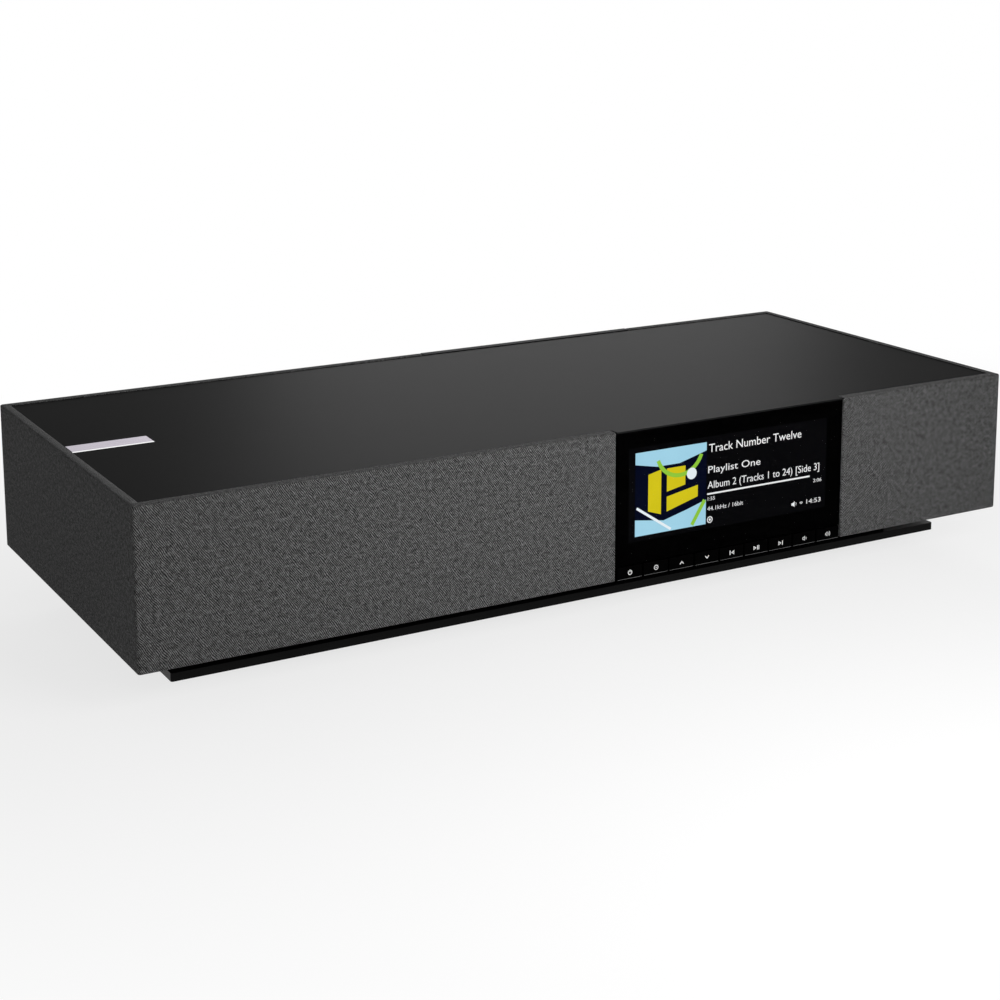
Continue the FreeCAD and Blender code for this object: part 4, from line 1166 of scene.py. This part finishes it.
class SPEAKER_OT_line_inputs(Operator):
    """Put the black face and the coloured rings round the line inputs"""

    bl_idname = "speaker.line_inputs"
    bl_label = "Line input faces"

    def execute(self, context):
        line = context.scene.speaker_line
        low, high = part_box("line_in_sockets")
        middle = (low + high) / 2
        wide, tall = high.x - low.x, high.z - low.z
        y = high.y - line.length + line.thick
        clear = line.barrel + line.gap
        centres = ((0.0, line.pitch / 2), (0.0, -line.pitch / 2))
        holes = [circle(clear, centre=centre) for centre in centres]
        face = rectangle(-wide / 2, wide / 2, -tall / 2, tall / 2)
        mesh = plates([[face, *holes]], line.thick)
        stood_on_front(mesh, middle.x, middle.z, y)
        piece("line_in_face", mesh, finish_for("socket_plastic"))
        for side, centre, hole in zip(SIDES, centres, holes):
            mesh = plates([[circle(clear + line.ring, centre=centre), hole]], line.thick)
            stood_on_front(mesh, middle.x, middle.z, y + line.thick)
            piece("line_in_ring_" + side, mesh, finish_for("ring_" + side))
        return {"FINISHED"}


# Labels at the back

class LabelSettings(PropertyGroup):
    """Size and height of the labels over the sockets."""

    height: length_setting("Letter height", "Height of a capital", 2.3)
    place: length_setting("Label height", "Height of the labels over the floor", 97.5)
    spacing: share_setting("Spacing", "Width of a letter against its height", 0.76)


class SPEAKER_OT_labels(Operator):
    """Print a plain label over each socket"""

    bl_idname = "speaker.labels"
    bl_label = "Socket labels"

    def execute(self, context):
        label = context.scene.speaker_label
        texts = {"line_in_sockets": "LINE IN", "optical_socket": "OPTICAL", "usb_socket": "USB",
                 "hdmi_socket": "TV", "network_socket": "NETWORK", "mains_inlet": "MAINS"}
        for node, text in texts.items():
            half = len(text) * label.height * label.spacing / 2
            mesh = words(text, label.height, -half, half, 0.0, 0.0)
            place = Matrix.Translation((middle_of(node).x, REAR_HIGH.y + INK, label.place))
            mesh.transform(place @ Matrix.Rotation(math.pi, 4, "Z"))
            piece("label_" + node, mesh, finish_for("label_ink"))
        return {"FINISHED"}


# Stage

class StageSettings(PropertyGroup):
    """Camera and lights."""

    camera_place: FloatVectorProperty(name="Camera", description="Where the camera stands",
                                      default=(-0.685842, -1.192938, 0.46734), size=3,
                                      subtype="TRANSLATION")
    camera_turn: angle_setting("Camera turn", "How far it turns to the right", 29.4579)
    camera_tilt: angle_setting("Camera tilt", "How far it looks down", 10.1628)
    camera_roll: angle_setting("Camera roll", "How far it leans", -0.2128)
    lens: FloatProperty(name="Lens", description="Focal length in millimetres",
                        default=68.779, subtype="DISTANCE_CAMERA")
    sensor: FloatProperty(name="Sensor", description="Width of the sensor in millimetres",
                          default=36.0, subtype="DISTANCE_CAMERA")
    shift: FloatProperty(name="Shift", description="Upward shift of the lens", default=-0.22)
    sky: share_setting("Sky light", "Strength of the even light all round", 0.17)


# Name, place, target, size in metres and power in watts of each lamp
LAMPS = (
    ("Key light", (0.02, -0.68, 0.34), (0.0, -0.14, 0.09), (0.5, 0.3), 3.3),
    ("Side light", (-1.6, -0.7, 0.35), (-0.34, -0.05, 0.08), (0.5, 0.4), 1.8),
    ("Lid light", (1.2, 2.0, 0.85), (0.0, 0.0, 0.14), (1.1, 0.7), 21.0),
)


def seen_directly(tree):
    """One where the eye, a reflection or clear glass sees a surface, and zero for plain light."""
    path = add(tree, "ShaderNodeLightPath").outputs
    either = add(tree, "ShaderNodeMath", (path["Is Camera Ray"], path["Is Glossy Ray"]),
                 operation="MAXIMUM")
    return add(tree, "ShaderNodeMath", (either, path["Is Transmission Ray"]),
               operation="MAXIMUM")


def white_floor():
    """Pale paper floor: it takes the shadow near the object and fades to white further out."""
    made, tree = new_material("Pale paper floor")
    place = add(tree, "ShaderNodeTexCoord").outputs["Object"]
    # The shadow is longer along X, and so is the round patch that keeps it
    squeezed = add(tree, "ShaderNodeMapping", {"Vector": place, "Scale": (0.7, 1.0, 1)})
    away = add(tree, "ShaderNodeVectorMath", (squeezed,), operation="LENGTH").outputs["Value"]
    fade = add(tree, "ShaderNodeMapRange",
               {"Value": away, "From Min": 0.2, "From Max": 0.75, "To Min": 0.75},
               interpolation_type="SMOOTHSTEP")
    amount = add(tree, "ShaderNodeMath", (fade, seen_directly(tree)), operation="MULTIPLY")
    fibres = grain(tree, 0.002, detail=2.0)
    shade = add(tree, "ShaderNodeValToRGB", (fibres,), ((0.3, "#f6f6f6"), (0.7, "#f8f8f8")))
    paper = add(tree, "ShaderNodeBsdfDiffuse", {"Color": shade})
    white = add(tree, "ShaderNodeEmission", {"Color": linear("#ffffff"), "Strength": 1.0})
    mixed = add(tree, "ShaderNodeMixShader", (amount, paper, white))
    add(tree, "ShaderNodeOutputMaterial", {"Surface": mixed})
    return made


def studio(sky):
    """A world that lights the object softly from all round and looks white to the eye."""
    world = bpy.data.worlds.new("Studio")
    world.use_nodes = True
    tree = world.node_tree
    tree.nodes.clear()
    even, white = (add(tree, "ShaderNodeBackground",
                       {"Color": linear("#ffffff"), "Strength": strength})
                   for strength in (sky, 1.0))
    mixed = add(tree, "ShaderNodeMixShader", (seen_directly(tree), even, white))
    add(tree, "ShaderNodeOutputWorld", {"Surface": mixed})
    return world


class SPEAKER_OT_stage(Operator):
    """Set the camera, the pale floor and the soft studio lights"""

    bl_idname = "speaker.stage"
    bl_label = "Stage"

    def execute(self, context):
        scene = context.scene
        stage = scene.speaker_stage
        turn, tilt, roll = stage.camera_turn, stage.camera_tilt, stage.camera_roll
        ahead = Vector((math.sin(turn) * math.cos(tilt), math.cos(turn) * math.cos(tilt),
                        -math.sin(tilt)))
        right = Vector((math.cos(turn), -math.sin(turn), 0))
        up = right.cross(ahead)
        rolled_right = right * math.cos(roll) + up * math.sin(roll)
        rolled_up = up * math.cos(roll) - right * math.sin(roll)
        basis = Matrix((rolled_right, rolled_up, -ahead)).transposed()
        lens = bpy.data.cameras.new("Camera")
        lens.lens = stage.lens
        lens.sensor_width = stage.sensor
        lens.shift_y = stage.shift
        lens.clip_start = 0.05
        lens.clip_end = 100.0
        camera = bpy.data.objects.new("Camera", lens)
        camera.matrix_world = Matrix.Translation(Vector(stage.camera_place)) @ basis.to_4x4()
        scene.collection.objects.link(camera)
        scene.camera = camera

        bm = bmesh.new()
        bmesh.ops.create_grid(bm, x_segments=2, y_segments=2, size=30.0)
        floor = bpy.data.objects.new("floor", mesh_of(bm))
        scene.collection.objects.link(floor)
        floor.data.materials.append(white_floor())

        for name, place, target, size, power in LAMPS:
            light = bpy.data.lights.new(name, "AREA")
            light.shape = "RECTANGLE"
            light.size, light.size_y = size
            light.energy = power
            lamp = bpy.data.objects.new(name, light)
            lamp.location = place
            aim = Vector(target) - Vector(place)
            lamp.rotation_euler = aim.to_track_quat("-Z", "Y").to_euler()
            scene.collection.objects.link(lamp)
        scene.world = studio(stage.sky)
        scene.view_settings.view_transform = "Standard"
        return {"FINISHED"}


# Add-on

SETTINGS = (
    ("speaker_cover", CoverSettings),
    ("speaker_finish", FinishSettings),
    ("speaker_display", DisplaySettings),
    ("speaker_mask", MaskSettings),
    ("speaker_mark", MarkSettings),
    ("speaker_screw", ScrewSettings),
    ("speaker_roll", RollSettings),
    ("speaker_line", LineInputSettings),
    ("speaker_label", LabelSettings),
    ("speaker_stage", StageSettings),
)
OPERATORS = (
    SPEAKER_OT_finishes,
    SPEAKER_OT_dark_lines,
    SPEAKER_OT_cloth_covers,
    SPEAKER_OT_glass_print,
    SPEAKER_OT_display,
    SPEAKER_OT_key_marks,
    SPEAKER_OT_screws,
    SPEAKER_OT_contacts,
    SPEAKER_OT_woofer_rolls,
    SPEAKER_OT_line_inputs,
    SPEAKER_OT_labels,
    SPEAKER_OT_stage,
)


class SPEAKER_PT_panel(Panel):
    """Lists the pieces and their settings"""

    bl_label = "Wireless speaker"
    bl_idname = "SPEAKER_PT_panel"
    bl_space_type = "VIEW_3D"
    bl_region_type = "UI"
    bl_category = "Speaker"

    def draw(self, context):
        layout = self.layout
        for operator in OPERATORS:
            layout.operator(operator.bl_idname)
        for name, group in SETTINGS:
            box = layout.box()
            for field in group.__annotations__:
                box.prop(getattr(context.scene, name), field)


def register():
    """Register the settings, the operators and the panel."""
    for name, group in SETTINGS:
        bpy.utils.register_class(group)
        setattr(bpy.types.Scene, name, PointerProperty(type=group))
    for operator in OPERATORS:
        bpy.utils.register_class(operator)
    bpy.utils.register_class(SPEAKER_PT_panel)


def unregister():
    """Take them away again, last first."""
    bpy.utils.unregister_class(SPEAKER_PT_panel)
    for operator in reversed(OPERATORS):
        bpy.utils.unregister_class(operator)
    for name, group in reversed(SETTINGS):
        delattr(bpy.types.Scene, name)
        bpy.utils.unregister_class(group)


def main():
    """Dress the frame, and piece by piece."""
    register()
    bpy.ops.speaker.finishes()
    bpy.ops.speaker.dark_lines()
    bpy.ops.speaker.cloth_covers()
    bpy.ops.speaker.glass_print()
    bpy.ops.speaker.display()
    bpy.ops.speaker.key_marks()
    bpy.ops.speaker.screws()
    bpy.ops.speaker.contacts()
    bpy.ops.speaker.woofer_rolls()
    bpy.ops.speaker.line_inputs()
    bpy.ops.speaker.labels()
    bpy.ops.speaker.stage()


if __name__ == "__main__":
    main()
